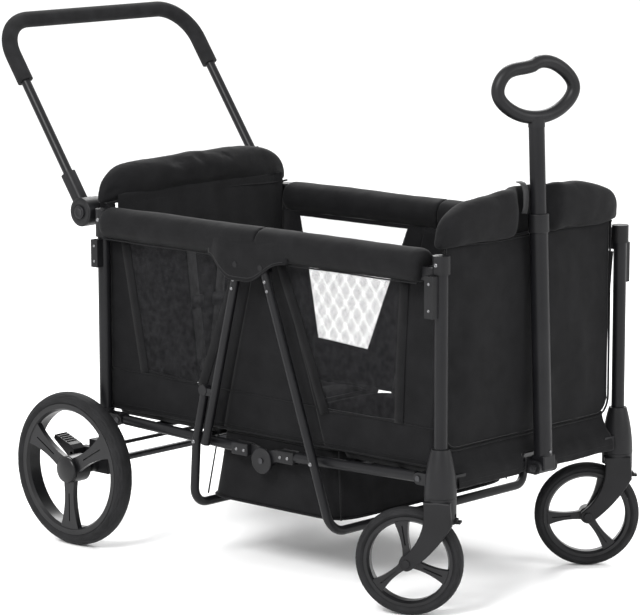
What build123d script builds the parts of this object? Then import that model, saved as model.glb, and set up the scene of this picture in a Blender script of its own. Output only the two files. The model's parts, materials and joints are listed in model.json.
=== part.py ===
"""Folding pull wagon for children: steel frame, fabric tub, push handle and pull handle.

Axes: +X runs to the pull-handle end, +Y to the wagon's left, +Z up. Millimetres.
The floor is Z = 0. A piece that sits on both sides of one body is one node of two solids;
where the two sides move apart, the names end in _left (+Y) and _right (-Y).
"""
from build123d import *
import math
import os

# ---------------------------------------------------------------- driving dimensions
POST_SPAN = 864.0            # rear posts to front posts
POST_Y = 258.0               # each post from the centre plane
REAR_X = -299.05             # rear posts; puts the origin under the middle of the whole wagon
FRONT_X = REAR_X + POST_SPAN
MID_X = REAR_X + POST_SPAN / 2

POST_D = 25.0
RAIL_D = 20.0
WALL = 1.5                   # tube wall
PIN_D = 8.0
FIT = 0.06                   # radial running clearance of a pin in its eye
SOCKET_R, SOCKET_Y = 4.5, 279.2   # canopy rod sockets

# folding linkage: equal links, posts stay upright
HINGE_INSET = 43.0           # rail hinges from the post axes
LOW_HINGE_Z = 249.5
LOW_MID_Z = 225.0            # centre hinge, under the rail so the halves can close
TOP_HINGE_Z = 620.0
TOP_MID_Z = TOP_HINGE_Z - (LOW_HINGE_Z - LOW_MID_Z)
REAR_HINGE_X = REAR_X + HINGE_INSET
FRONT_HINGE_X = FRONT_X - HINGE_INSET
TOP_RAIL_Z = 635.0
PAD_R = 33.0

# A-shaped legs and footwell bars
LEG_Y = 284.0
LEG_D = 17.0
BAR_Z = 119.0                # footwell bars
FRONT_BAR_DX = 194.0         # from the middle

# wheels
REAR_R, REAR_TYRE_W = 151.5, 42.0
REAR_WHEEL_Y = 322.0
AXLE_DX = -26.0              # rear axle from the rear posts
FRONT_R, FRONT_TYRE_W = 100.0, 32.0
CASTER_TRAIL = 56.5
CASTER_TURN = {"right": 27.5, "left": 42.0}   # how far each caster has swung from straight
SEAM_Z = 221.0               # top of the caster fork
HOUSING_TOP_Z = 308.0
CROSS_BAR_Z = 243.5

# push handle
HUB_DX, HUB_Z = -49.0, 650.0
HUB_R = 28.3
HANDLE_LEAN = 34.8           # from upright, towards the rear
HANDLE_LENGTH = 433.0
HANDLE_TUBE_D = 19.0
GRIP_D = 32.0
GRIP_START = 296.0
HANDLE_BEND = 78.0

# pull handle
PULL_X = FRONT_X + 28.0
PULL_PIVOT_Z = 239.0
PULL_LEAN = 2.2              # leans back a little, against the front panel
PULL_OUTER_D, PULL_INNER_D = 34.0, 29.4
RING_W, RING_H, RING_D = 178.0, 123.0, 27.0
RING_TWIST = 25.0

# fabric tub
SKIN = 3.0
WALL_Y = 243.5               # outer face of the side fabric
HEM_Z, WALL_TOP_Z = 273.0, 603.5
BAG_BOTTOM_Z, BAG_TOP_Z = 129.0, 235.0

SIDES = {"left": 1, "right": -1}
pieces = {}


def keep(name, part):
    """Label a finished piece and remember it for writing."""
    part.label = name
    pieces[name] = part


def side_part(part, sign):
    """The piece as made for the left side, or its mirror image for the right side."""
    return part if sign > 0 else mirror(part, about=Plane.XZ)


def group(parts):
    """Like pieces kept together as separate solids of one node."""
    return Compound(children=list(parts))


def keep_pair(name, part):
    """Keep a left-hand piece and its right-hand mirror image as one node."""
    keep(name, group([part, mirror(part, about=Plane.XZ)]))


def rod(start, end, diameter, bore=0.0):
    """A straight round rod, or a tube when a bore is given."""
    run = Vector(*end) - Vector(*start)
    with BuildPart() as body:
        with BuildSketch(Plane(origin=start, z_dir=run)):
            Circle(diameter / 2)
            if bore:
                Circle(bore / 2, mode=Mode.SUBTRACT)
        extrude(amount=run.length)
    return body.part


def across(x, z, y0, y1, radius, bore=0.0):
    """A disc, boss or pin whose axis runs along Y."""
    return rod((x, y0, z), (x, y1, z), 2 * radius, 2 * bore)


def slab(x0, x1, y0, y1, z0, z1, rounding=0.0):
    """A block between two corners, with its edges rounded if asked."""
    with BuildPart() as body:
        with Locations(((x0 + x1) / 2, (y0 + y1) / 2, (z0 + z1) / 2)):
            Box(x1 - x0, y1 - y0, z1 - z0)
        if rounding:
            fillet(body.edges(), rounding)
    return body.part


def side_plate(outline, y0, y1, holes=()):
    """A plate standing in the XZ plane: outline points (x, z), round holes (x, z, radius)."""
    with BuildPart() as body:
        with BuildSketch(Plane.XZ.offset(-y0)):
            with BuildLine():
                Polyline(*outline, close=True)
            make_face()
            for x, z, radius in holes:
                with Locations((x, z)):
                    Circle(radius, mode=Mode.SUBTRACT)
        extrude(amount=-(y1 - y0))
    return body.part


# ---------------------------------------------------------------- rear frame
AXLE_X = REAR_X + AXLE_DX
AXLE_Z = REAR_R
HUB_X = REAR_X + HUB_DX

BRAKE_X, BRAKE_Z = AXLE_X - 34, 172.0
HUB_PIN_R = 6.0

keep_pair("rear_posts", rod((REAR_X, POST_Y, 176), (REAR_X, POST_Y, 656), POST_D, POST_D - 2 * WALL))

# corner bracket: collar on the post, fork for the top rail, fixed half of the handle hub
with BuildPart() as rear_corner:
    add(rod((REAR_X, POST_Y, 606), (REAR_X, POST_Y, 660), POST_D + 7))
    add(slab(HUB_X, REAR_X + 4, 230, 244.3, 632, 668))
    add(across(HUB_X, HUB_Z, 230, 244.3, HUB_R - 0.8))
    for y in (246.5, 265.5):
        add(slab(REAR_X + 6, REAR_HINGE_X, y, y + 4, 611, 629))
        add(across(REAR_HINGE_X, TOP_HINGE_Z, y, y + 4, 9))
    add(rod((REAR_X, POST_Y, 600), (REAR_X, POST_Y, 656.1), POST_D + 0.02), mode=Mode.SUBTRACT)
    add(across(HUB_X, HUB_Z, 220, 250, HUB_PIN_R + FIT), mode=Mode.SUBTRACT)
    add(across(REAR_HINGE_X, TOP_HINGE_Z, 240, 275, PIN_D / 2), mode=Mode.SUBTRACT)
keep_pair("rear_corners", rear_corner.part)


def canopy_socket(x, half_width, z0, z1):
    """Flat block outboard of a post, bored from above for a round canopy rod."""
    with BuildPart() as socket:
        add(slab(x - half_width, x + half_width, 270.6, 285, z0, z1))
        add(rod((x, SOCKET_Y, z0 + 8), (x, SOCKET_Y, z1 + 1), 2 * SOCKET_R), mode=Mode.SUBTRACT)
    return socket.part


keep_pair("rear_canopy_sockets", canopy_socket(REAR_X, 9, 548, 602))

# lower bracket: sleeve on the post foot, fork for the lower rail, axle clamp, brake lug
with BuildPart() as rear_bracket:
    add(rod((REAR_X, POST_Y, 166), (REAR_X, POST_Y, 268), POST_D + 8))
    for y in (245, 266):
        add(slab(REAR_X + 4, REAR_HINGE_X, y, y + 4.5, 238.5, 260.5))
        add(across(REAR_HINGE_X, LOW_HINGE_Z, y, y + 4.5, 11))
    add(slab(AXLE_X - 13, REAR_X + 14, 247, 269, 136, 200))
    add(across(AXLE_X, AXLE_Z, 240, 284, 14))
    add(slab(BRAKE_X - 8, AXLE_X, 250, 266, 162, 182))
    add(rod((REAR_X, POST_Y, 175.9), (REAR_X, POST_Y, 275), POST_D + 0.02), mode=Mode.SUBTRACT)
    add(across(AXLE_X, AXLE_Z, 230, 300, 7), mode=Mode.SUBTRACT)
    add(across(REAR_HINGE_X, LOW_HINGE_Z, 240, 275, PIN_D / 2), mode=Mode.SUBTRACT)
    add(across(BRAKE_X, BRAKE_Z, 240, 280, 4 + FIT), mode=Mode.SUBTRACT)
keep_pair("rear_brackets", rear_bracket.part)

with BuildPart() as rear_axle:
    add(across(AXLE_X, AXLE_Z, -349, 349, 6))
    add(across(AXLE_X, AXLE_Z, -290, 290, 7))
keep("rear_axle", rear_axle.part)


def headed_pin(x, z, y0, y1):
    """Hinge pin from y0 to y1, with a flat head outboard."""
    return across(x, z, y0, y1, PIN_D / 2) + across(x, z, y1, y1 + 1.8, PIN_D / 2 + 1.6)


def both_sides(left_pieces):
    """Left pieces and their mirror images as separate solids of one node."""
    return group(left_pieces + [mirror(piece, about=Plane.XZ) for piece in left_pieces])


# hinge pins of the rails on both end frames, and at the rear those of the push handle
hub_pin = across(HUB_X, HUB_Z, 229.6, 261, HUB_PIN_R) + across(HUB_X, HUB_Z, 225, 229.7, 11)
rear_pins = [headed_pin(REAR_HINGE_X, LOW_HINGE_Z, 246.5, 270.5),
             headed_pin(REAR_HINGE_X, TOP_HINGE_Z, 246.5, 269.5)]
front_pins = [headed_pin(FRONT_HINGE_X, LOW_HINGE_Z, 246.5, 270.5),
              headed_pin(FRONT_HINGE_X, TOP_HINGE_Z, 246.5, 269.5)]
keep("rear_frame_pins", both_sides(rear_pins + [hub_pin]))
keep("front_frame_pins", both_sides(front_pins))

# foot brake: a rod behind the axle with a ribbed pedal
keep("brake_rod", across(BRAKE_X, BRAKE_Z, -286, 286, 4))
with BuildPart() as pedal:
    with BuildSketch(Plane.XZ.offset(-268)):
        with BuildLine():
            Polyline((BRAKE_X + 7, BRAKE_Z - 7), (BRAKE_X + 7, BRAKE_Z + 9), (BRAKE_X - 2, BRAKE_Z + 17),
                     (BRAKE_X - 46, BRAKE_Z + 33), (BRAKE_X - 50, BRAKE_Z + 24), (BRAKE_X - 8, BRAKE_Z - 7),
                     close=True)
        make_face()
    extrude(amount=-30)
    fillet(pedal.edges().filter_by(Axis.Y), 2.5)
    for step in range(5):
        rib_x = BRAKE_X - 14 - 7 * step
        rib_z = BRAKE_Z + 21.5 + 7 * step * 16 / 44
        add(rod((rib_x, 271, rib_z), (rib_x, 295, rib_z), 3.2))
    add(across(BRAKE_X, BRAKE_Z, 260, 300, 4), mode=Mode.SUBTRACT)
keep("brake_pedal", mirror(pedal.part, about=Plane.XZ))

# ---------------------------------------------------------------- wheels


def tyre(radius, width, seat_r):
    """A round-shouldered tyre about the Z axis, centred on the origin."""
    half = width / 2
    with BuildPart() as body:
        with BuildSketch(Plane.XZ):
            with BuildLine():
                Line((seat_r, -half * 0.78), (seat_r, half * 0.78))
                Line((seat_r, half * 0.78), (radius - half * 0.72, half))
                ThreePointArc((radius - half * 0.72, half), (radius, 0), (radius - half * 0.72, -half))
                Line((radius - half * 0.72, -half), (seat_r, -half * 0.78))
            make_face()
        revolve(axis=Axis.Z)
    return body.part


def rim(seat_r, opening_r, hub_r, bore_r, depth, hub_depth, face):
    """Three-spoke rim about Z; face is the height of the outer face over the middle plane."""
    with BuildPart() as body:
        with BuildSketch(Plane.XZ):
            with BuildLine():
                Polyline((opening_r, -depth / 2), (opening_r - 1, face - 6), (opening_r + 3, face),
                         (seat_r - 0.1, face), (seat_r - 0.1, -depth / 2), close=True)
            make_face()
        revolve(axis=Axis.Z)
        with BuildSketch(Plane.XY.offset(face - 13)):
            with BuildLine():
                reach = opening_r + 2
                ThreePointArc((hub_r * 0.8, hub_r * 0.55), (reach * 0.6, hub_r * 0.5),
                              (reach, hub_r * 0.95))
                Line((reach, hub_r * 0.95), (reach, -hub_r * 0.95))
                ThreePointArc((reach, -hub_r * 0.95), (reach * 0.6, -hub_r * 0.5),
                              (hub_r * 0.8, -hub_r * 0.55))
                Line((hub_r * 0.8, -hub_r * 0.55), (hub_r * 0.8, hub_r * 0.55))
            make_face()
        extrude(amount=11)
        for turn in (120, 240):
            add(body.part.rotate(Axis.Z, turn))
        with BuildSketch(Plane.XY.offset(-hub_depth / 2)):
            Circle(hub_r)
        extrude(amount=hub_depth / 2 + face)
        with BuildSketch(Plane.XY.offset(face - 6)):
            with PolarLocations((opening_r + hub_r) / 2 + 4, 3):
                SlotOverall((opening_r - hub_r) * 0.62, 2.6)
        extrude(amount=8, mode=Mode.SUBTRACT)
        with BuildSketch(Plane.XY.offset(-hub_depth)):
            Circle(bore_r)
        extrude(amount=3 * hub_depth, mode=Mode.SUBTRACT)
    return body.part


rear_tyre = tyre(REAR_R, REAR_TYRE_W, 130)
rear_rim = rim(130, 117, 27, 6 + FIT, 34, 38, 17)
for side, sign in SIDES.items():
    spot = Plane(origin=(AXLE_X, sign * REAR_WHEEL_Y, AXLE_Z), x_dir=(0, 0, -1), z_dir=(0, sign, 0))
    keep(f"rear_tyre_{side}", rear_tyre.moved(spot.location))
    keep(f"rear_rim_{side}", rear_rim.moved(spot.location))

# ---------------------------------------------------------------- casters
# modelled once with the swivel axis on Z and the wheel's outer face towards -Y, trailing to -X
front_tyre = tyre(FRONT_R, FRONT_TYRE_W, 83)
front_rim = rim(83, 74, 15, 4 + FIT, 26, 30, 13)
ARM_IN, ARM_OUT = 19.0, 30.0
FORK_R = 29.0
TAB_Z = 177.0
AXLE_HEIGHT = FRONT_R
with BuildPart() as fork:
    with BuildSketch(Plane.XY.offset(200)):
        Circle(FORK_R)
    extrude(amount=SEAM_Z - 0.6 - 200)
    with BuildSketch(Plane.XY.offset(TAB_Z - 4)):
        Circle(FORK_R)
        with Locations((-18, 0)):
            Rectangle(66, 80, mode=Mode.SUBTRACT)
    extrude(amount=200 - TAB_Z + 4)
    with BuildSketch(Plane.XZ.offset(ARM_IN)):
        with BuildLine():
            Line((-26, 215), (24, 215))
            Line((24, 215), (27, TAB_Z - 4))
            ThreePointArc((27, TAB_Z - 4), (0, 134), (-CASTER_TRAIL + 9, AXLE_HEIGHT - 11))
            ThreePointArc((-CASTER_TRAIL + 9, AXLE_HEIGHT - 11), (-CASTER_TRAIL - 10, AXLE_HEIGHT - 9),
                          (-CASTER_TRAIL - 11, AXLE_HEIGHT + 8))
            ThreePointArc((-CASTER_TRAIL - 11, AXLE_HEIGHT + 8), (-31, 156), (-26, 215))
        make_face()
    extrude(amount=ARM_OUT - ARM_IN)
    fillet(fork.faces().sort_by(Axis.Y)[0].edges(), 3)
    with BuildSketch(Plane.XY.offset(SEAM_Z - 2)):
        Circle(6)
    extrude(amount=64)
    with Locations((FORK_R - 2.5, 0, TAB_Z + 4)):
        Box(13, 15, 20, mode=Mode.SUBTRACT)
    # axle riveted in the arm: shaft, inner retaining head, domed outer head
    add(across(-CASTER_TRAIL, AXLE_HEIGHT, -ARM_OUT - 3.4, 19, 4))
    add(across(-CASTER_TRAIL, AXLE_HEIGHT, 15.4, 19, 7))
    add(across(-CASTER_TRAIL, AXLE_HEIGHT, -ARM_OUT - 3.4, -ARM_OUT, 8))
    fillet(fork.faces().sort_by(Axis.Y)[0].edges(), 2.4)

with BuildPart() as swivel_lock:
    with Locations((FORK_R - 1.2, 0, TAB_Z + 1)):
        Box(9, 14, 9)
    with Locations((FORK_R + 5, 0, TAB_Z - 1)):
        Box(9, 14, 5)
    fillet(swivel_lock.edges().filter_by(Axis.Y), 1.5)

for side, sign in SIDES.items():
    swivel = Location((FRONT_X, sign * POST_Y, 0), (0, 0, CASTER_TURN[side]))
    hub_spot = Plane(origin=(-CASTER_TRAIL, 0, AXLE_HEIGHT), x_dir=(0, 0, -1), z_dir=(0, -1, 0)).location
    keep(f"caster_fork_{side}", fork.part.moved(swivel))
    keep(f"swivel_lock_{side}", swivel_lock.part.moved(swivel))
    keep(f"front_tyre_{side}", front_tyre.moved(hub_spot).moved(swivel))
    keep(f"front_rim_{side}", front_rim.moved(hub_spot).moved(swivel))

# ---------------------------------------------------------------- front frame
keep_pair("front_posts", rod((FRONT_X, POST_Y, 292), (FRONT_X, POST_Y, 652), POST_D, POST_D - 2 * WALL))

# flared housing with ears for the side rail and the cross bar
with BuildPart() as housing:
    for height, radius in ((SEAM_Z, FORK_R + 0.5), (SEAM_Z + 34, FORK_R - 1.5), (HOUSING_TOP_Z, 17)):
        with BuildSketch(Plane.XY.offset(height)):
            with Locations((FRONT_X, POST_Y)):
                Circle(radius)
    loft()
    for y in (245, 266):
        add(slab(FRONT_HINGE_X, FRONT_X - 8, y, y + 4.5, 238.5, 260.5))
        add(across(FRONT_HINGE_X, LOW_HINGE_Z, y, y + 4.5, 11))
    add(slab(FRONT_X - 13, FRONT_X + 13, 203, 240, 230, 257))
    add(rod((FRONT_X, 202, CROSS_BAR_Z), (FRONT_X, 234, CROSS_BAR_Z), RAIL_D + 0.02), mode=Mode.SUBTRACT)
    add(rod((FRONT_X, POST_Y, 291.9), (FRONT_X, POST_Y, 320), POST_D + 0.02), mode=Mode.SUBTRACT)
    add(rod((FRONT_X, POST_Y, 210), (FRONT_X, POST_Y, 286), 12 + 2 * FIT), mode=Mode.SUBTRACT)
    add(across(FRONT_HINGE_X, LOW_HINGE_Z, 240, 275, PIN_D / 2), mode=Mode.SUBTRACT)
keep_pair("front_housings", housing.part)

with BuildPart() as front_corner:
    add(rod((FRONT_X, POST_Y, 624), (FRONT_X, POST_Y, 657), POST_D + 7))
    for y in (246.5, 265.5):
        add(slab(FRONT_HINGE_X, FRONT_X - 6, y, y + 4, 611, 635))
        add(across(FRONT_HINGE_X, TOP_HINGE_Z, y, y + 4, 9))
    add(rod((FRONT_X, POST_Y, 600), (FRONT_X, POST_Y, 652.1), POST_D + 0.02), mode=Mode.SUBTRACT)
    add(across(FRONT_HINGE_X, TOP_HINGE_Z, 240, 275, PIN_D / 2), mode=Mode.SUBTRACT)
keep_pair("front_corners", front_corner.part)

keep_pair("front_canopy_sockets", canopy_socket(FRONT_X - 7, 10, 546, 622))

CROSS_BAR_END = 233.9
keep("front_cross_bar", rod((FRONT_X, -CROSS_BAR_END, CROSS_BAR_Z), (FRONT_X, CROSS_BAR_END, CROSS_BAR_Z),
                            RAIL_D, RAIL_D - 2 * WALL))

# pivot block of the pull handle, clamped round the cross bar
with BuildPart() as pull_bracket:
    add(slab(FRONT_X - 14, FRONT_X + 11, -30, 30, 229, 257, 2))
    for y in (-26, 20):
        add(slab(FRONT_X + 8, PULL_X + 2, y, y + 6, 227, 252))
        add(across(PULL_X, PULL_PIVOT_Z, y, y + 6, 12.5))
    add(rod((FRONT_X, -40, CROSS_BAR_Z), (FRONT_X, 40, CROSS_BAR_Z), RAIL_D + 0.02), mode=Mode.SUBTRACT)
    add(across(PULL_X, PULL_PIVOT_Z, -40, 40, PIN_D / 2), mode=Mode.SUBTRACT)
keep("pull_handle_bracket", pull_bracket.part)
with BuildPart() as pull_bolt:
    add(across(PULL_X, PULL_PIVOT_Z, -30, 30, PIN_D / 2))
    for y in (-32, 26):
        with BuildSketch(Plane.XZ.offset(-y)):
            with Locations((PULL_X, PULL_PIVOT_Z)):
                RegularPolygon(7.5, 6)
        extrude(amount=-6)
keep("pull_handle_bolt", pull_bolt.part)

# ---------------------------------------------------------------- pull handle
# built upright over the pivot, then leaned back
PULL_AXIS = Axis((PULL_X, 0, PULL_PIVOT_Z), (0, 1, 0))
OUTER_TOP_Z = 706.0
INNER_TOP_Z = 878.0
RING_Z = 930.0
with BuildPart() as pull_outer:
    add(rod((PULL_X, 0, PULL_PIVOT_Z + 20), (PULL_X, 0, OUTER_TOP_Z - 20), PULL_OUTER_D))
    add(slab(PULL_X - 15.3, PULL_X + 15.3, -17, 17, PULL_PIVOT_Z - 6, PULL_PIVOT_Z + 22, 3))
    add(across(PULL_X, PULL_PIVOT_Z, -19.7, 19.7, 12))
    add(rod((PULL_X, 0, PULL_PIVOT_Z + 34), (PULL_X, 0, OUTER_TOP_Z), PULL_OUTER_D - 2 * WALL),
        mode=Mode.SUBTRACT)
    add(across(PULL_X, PULL_PIVOT_Z, -40, 40, PIN_D / 2 + FIT), mode=Mode.SUBTRACT)
keep("pull_handle_outer_tube", pull_outer.part.rotate(PULL_AXIS, -PULL_LEAN))
with BuildPart() as pull_collar:
    add(rod((PULL_X, 0, OUTER_TOP_Z - 34), (PULL_X, 0, OUTER_TOP_Z), 39))
    fillet(pull_collar.edges().filter_by(GeomType.CIRCLE), 1.5)
    add(rod((PULL_X, 0, OUTER_TOP_Z - 40), (PULL_X, 0, OUTER_TOP_Z - 19.9), PULL_OUTER_D + 0.02),
        mode=Mode.SUBTRACT)
    add(rod((PULL_X, 0, OUTER_TOP_Z - 40), (PULL_X, 0, OUTER_TOP_Z + 5), PULL_INNER_D + 2 * FIT),
        mode=Mode.SUBTRACT)
keep("pull_handle_collar", pull_collar.part.rotate(PULL_AXIS, -PULL_LEAN))
with BuildPart() as pull_inner:
    add(rod((PULL_X, 0, 470), (PULL_X, 0, INNER_TOP_Z), PULL_INNER_D, PULL_INNER_D - 2 * WALL))
keep("pull_handle_inner_tube", pull_inner.part.rotate(PULL_AXIS, -PULL_LEAN))

# egg-shaped ring grip, wider at the top
with BuildPart() as ring:
    half_w, half_h = (RING_W - RING_D) / 2, (RING_H - RING_D) / 2
    with BuildLine(Plane.YZ) as ring_line:
        Spline((0, half_h), (half_w * 0.76, half_h * 0.7), (half_w, 0.02 * half_h),
               (half_w * 0.66, -half_h * 0.7), (0, -half_h), (-half_w * 0.66, -half_h * 0.7),
               (-half_w, 0.02 * half_h), (-half_w * 0.76, half_h * 0.7),
               periodic=True)
    with BuildSketch(Plane(origin=(0, 0, half_h), x_dir=(1, 0, 0), z_dir=(0, 1, 0))):
        Ellipse(RING_D / 2 - 0.5, RING_D / 2)
    sweep(path=ring_line.line)
with BuildPart() as grip:
    add(ring.part.rotate(Axis.Z, -RING_TWIST).moved(Location((PULL_X, 0, RING_Z))))
    add(rod((PULL_X, 0, INNER_TOP_Z - 14), (PULL_X, 0, RING_Z - 46), PULL_INNER_D + 1.6))
    add(rod((PULL_X, 0, INNER_TOP_Z - 30), (PULL_X, 0, INNER_TOP_Z), PULL_INNER_D + 0.02),
        mode=Mode.SUBTRACT)
keep("pull_handle_grip", grip.part.rotate(PULL_AXIS, -PULL_LEAN))

# ---------------------------------------------------------------- push handle
lean = math.radians(HANDLE_LEAN)
ARM_DIR = Vector(-math.sin(lean), 0, math.cos(lean))


def on_arm(distance, y):
    """The point of a handle arm that far from the hub axis."""
    return (HUB_X + ARM_DIR.X * distance, y, HUB_Z + ARM_DIR.Z * distance)


def handle_path(start):
    """The handle's centre line, from one arm over the top to the other."""
    return FilletPolyline(on_arm(start, POST_Y), on_arm(HANDLE_LENGTH, POST_Y),
                          on_arm(HANDLE_LENGTH, -POST_Y), on_arm(start, -POST_Y), radius=HANDLE_BEND)


with BuildPart() as push_tube:
    with BuildLine() as path:
        handle_path(34)
    with BuildSketch(Plane(origin=on_arm(34, POST_Y), z_dir=ARM_DIR)):
        Circle(HANDLE_TUBE_D / 2)
        Circle(HANDLE_TUBE_D / 2 - WALL, mode=Mode.SUBTRACT)
    sweep(path=path.line)
keep("push_handle_tube", push_tube.part)
with BuildPart() as push_grip:
    with BuildLine() as path:
        handle_path(GRIP_START)
    with BuildSketch(Plane(origin=on_arm(GRIP_START, POST_Y), z_dir=ARM_DIR)):
        Circle(GRIP_D / 2)
        Circle(HANDLE_TUBE_D / 2 + 0.05, mode=Mode.SUBTRACT)
    sweep(path=path.line)
keep("push_handle_grip", push_grip.part)

BUTTON_R = 13.0
with BuildPart() as sleeve:
    add(across(HUB_X, HUB_Z, 245, 275, HUB_R))
    fillet(sleeve.faces().sort_by(Axis.Y)[-1].edges(), 2.5)
    with BuildSketch(Plane(origin=on_arm(10, POST_Y + 1), x_dir=(0, 1, 0), z_dir=ARM_DIR)):
        RectangleRounded(25, 28, 9)
    extrude(amount=76)
    add(rod(on_arm(34, POST_Y), on_arm(120, POST_Y), HANDLE_TUBE_D + 0.02), mode=Mode.SUBTRACT)
    add(across(HUB_X, HUB_Z, 262, 280, BUTTON_R + 0.3), mode=Mode.SUBTRACT)
    add(across(HUB_X, HUB_Z, 240, 261, HUB_PIN_R), mode=Mode.SUBTRACT)
keep_pair("push_handle_hubs", sleeve.part)
with BuildPart() as button:
    add(across(HUB_X, HUB_Z, 267, 279, BUTTON_R))
    fillet(button.faces().sort_by(Axis.Y)[-1].edges(), 1.8)
for side, sign in SIDES.items():
    keep(f"push_handle_button_{side}", side_part(button.part, sign))

# ---------------------------------------------------------------- lower rails and floor
RAIL_REAR_Z, RAIL_MID_Z = 250.0, 238.0
RAIL_RUN = MID_X - REAR_HINGE_X
FLOOR_EDGE = 250.0                  # the floor halves end this far from the end posts
CROSS_TUBE_AT = (120.0, 238.0)


def rail_z(distance):
    """Height of a lower rail's axis, that far from the end posts."""
    return RAIL_REAR_Z + (RAIL_MID_Z - RAIL_REAR_Z) * (distance - HINGE_INSET) / RAIL_RUN


def rail_point(distance, y=POST_Y, drop=0.0):
    """The point of a rear lower rail's axis that far from the rear posts."""
    return (REAR_X + distance, y, rail_z(distance) - drop)


def front_half(part):
    """The mirror image of a piece of the rear half."""
    return mirror(part, about=Plane(origin=(MID_X, 0, 0), z_dir=(1, 0, 0)))


# one half of the floor frame: two side rails with hinge eyes, tied by two cross tubes
RAIL_STOP = POST_SPAN / 2 - 44
with BuildPart() as floor_frame:
    for distance in CROSS_TUBE_AT:
        add(rod(rail_point(distance, -POST_Y, 3), rail_point(distance, POST_Y, 3), 14))
    for sign in SIDES.values():
        add(rod(rail_point(HINGE_INSET + 12.5, sign * POST_Y), rail_point(RAIL_STOP, sign * POST_Y),
                RAIL_D))
        add(side_part(across(REAR_HINGE_X, LOW_HINGE_Z, 249.8, 265.7, 10.5), sign))
        add(side_part(slab(REAR_HINGE_X, REAR_HINGE_X + 24, 250.5, 265, 242.5, 256.5), sign))
        add(rod(rail_point(HINGE_INSET + 26, sign * POST_Y), rail_point(RAIL_STOP + 5, sign * POST_Y),
                RAIL_D - 2 * WALL),
            mode=Mode.SUBTRACT)
        add(side_part(across(REAR_HINGE_X, LOW_HINGE_Z, 240, 280, PIN_D / 2 + FIT), sign),
            mode=Mode.SUBTRACT)
keep("lower_rails_rear", floor_frame.part)
keep("lower_rails_front", front_half(floor_frame.part))

# centre hinge: half-lapped plastic discs on sleeves riveted over the rail ends
SLEEVE = (MID_X - 80, MID_X - 38)
COVER_R = 25.0
rail_end = rod(rail_point(RAIL_STOP - 50), rail_point(RAIL_STOP), RAIL_D + 0.02)


def hinge_half(y0, y1, pin_radius):
    """Sleeve over the rail end, with a tongue and disc reaching the centre pivot."""
    tongue = [(SLEEVE[1] - 4, 228), (SLEEVE[1] - 4, 250), (SLEEVE[1] + 12, 248), (MID_X + 4, 240),
              (MID_X, LOW_MID_Z - 16), (SLEEVE[1] + 8, 226)]
    with BuildPart() as half:
        add(slab(SLEEVE[0], SLEEVE[1], POST_Y - 11.5, POST_Y + 11.5, 227, 251, 3))
        add(side_plate(tongue, y0, y1))
        add(across(MID_X, LOW_MID_Z, y0, y1, 17))
        add(rail_end, mode=Mode.SUBTRACT)
        add(across(MID_X, LOW_MID_Z, 240, 280, pin_radius), mode=Mode.SUBTRACT)
    return half.part


with BuildPart() as hinge_front:
    add(front_half(hinge_half(258.2, 265.7, PIN_D / 2)))
    add(across(MID_X, LOW_MID_Z, 265.6, 271.5, COVER_R))
    fillet(hinge_front.faces().sort_by(Axis.Y)[-1].edges().filter_by(GeomType.CIRCLE), 2)
    add(across(MID_X, LOW_MID_Z, 240, 280, PIN_D / 2), mode=Mode.SUBTRACT)
keep_pair("centre_hinges_rear", hinge_half(250.3, 257.8, PIN_D / 2 + FIT))
keep_pair("centre_hinges_front", hinge_front.part)
keep_pair("centre_hinge_pins", headed_pin(MID_X, LOW_MID_Z, 250.3, 271.5))

# padded floor halves: a board sewn into a cushion, lying on the cross tubes
with BuildPart() as floor_pad:
    add(slab(REAR_X + 70, REAR_X + FLOOR_EDGE, -234, 234, 254.5, 276))
    fillet(floor_pad.faces().sort_by(Axis.Z)[-1].edges(), 6)
keep("floor_pad_rear", floor_pad.part)
keep("floor_pad_front", front_half(floor_pad.part))

# ---------------------------------------------------------------- top rails and pads
TOP_EYE = (251.0, 265.0)
END_PLATES = {"rear": (253.3, 257.5), "front": (258.5, 262.7)}
TOP_TUBE_D = 22.0
PAD_CAVITY_D = 57.0


def top_rail(y0, y1):
    """A left top rail of the rear half: hinge eye, tube, and an end plate dropping to the middle pivot."""
    end_plate = [(MID_X - 62, 626), (MID_X - 62, 644), (MID_X - 38, 644), (MID_X + 7, 600),
                 (MID_X + 4, 588), (MID_X - 8, 588)]
    with BuildPart() as rail:
        add(rod((REAR_HINGE_X + 20, POST_Y, TOP_RAIL_Z), (MID_X - 38, POST_Y, TOP_RAIL_Z), TOP_TUBE_D, 18))
        add(across(REAR_HINGE_X, TOP_HINGE_Z, *TOP_EYE, 8.5))
        add(slab(REAR_HINGE_X, REAR_HINGE_X + 26, *TOP_EYE, 613, 644))
        add(side_plate(end_plate, y0, y1))
        add(across(MID_X, TOP_MID_Z, y0, y1, 8.5))
        add(across(REAR_HINGE_X, TOP_HINGE_Z, 240, 280, PIN_D / 2 + FIT), mode=Mode.SUBTRACT)
        add(across(MID_X, TOP_MID_Z, 240, 280, PIN_D / 2 + FIT), mode=Mode.SUBTRACT)
    return rail.part


def top_pad(start):
    """Round foam cover of a left top rail, hollow at its ends where the hinges are."""
    with BuildPart() as pad:
        add(rod((start, POST_Y, TOP_RAIL_Z), (MID_X - 2, POST_Y, TOP_RAIL_Z), 2 * PAD_R))
        fillet(pad.faces().sort_by(Axis.X)[0].edges(), 4)
        add(rod((REAR_X, POST_Y, TOP_RAIL_Z), (MID_X, POST_Y, TOP_RAIL_Z), TOP_TUBE_D + 0.1),
            mode=Mode.SUBTRACT)
        for x0, x1 in ((REAR_X, REAR_HINGE_X + 27), (MID_X - 64, MID_X)):
            add(rod((x0, POST_Y, TOP_RAIL_Z), (x1, POST_Y, TOP_RAIL_Z), PAD_CAVITY_D), mode=Mode.SUBTRACT)
        add(slab(MID_X - 64, MID_X, 245, 277, 598, 618), mode=Mode.SUBTRACT)
    return pad.part


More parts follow.
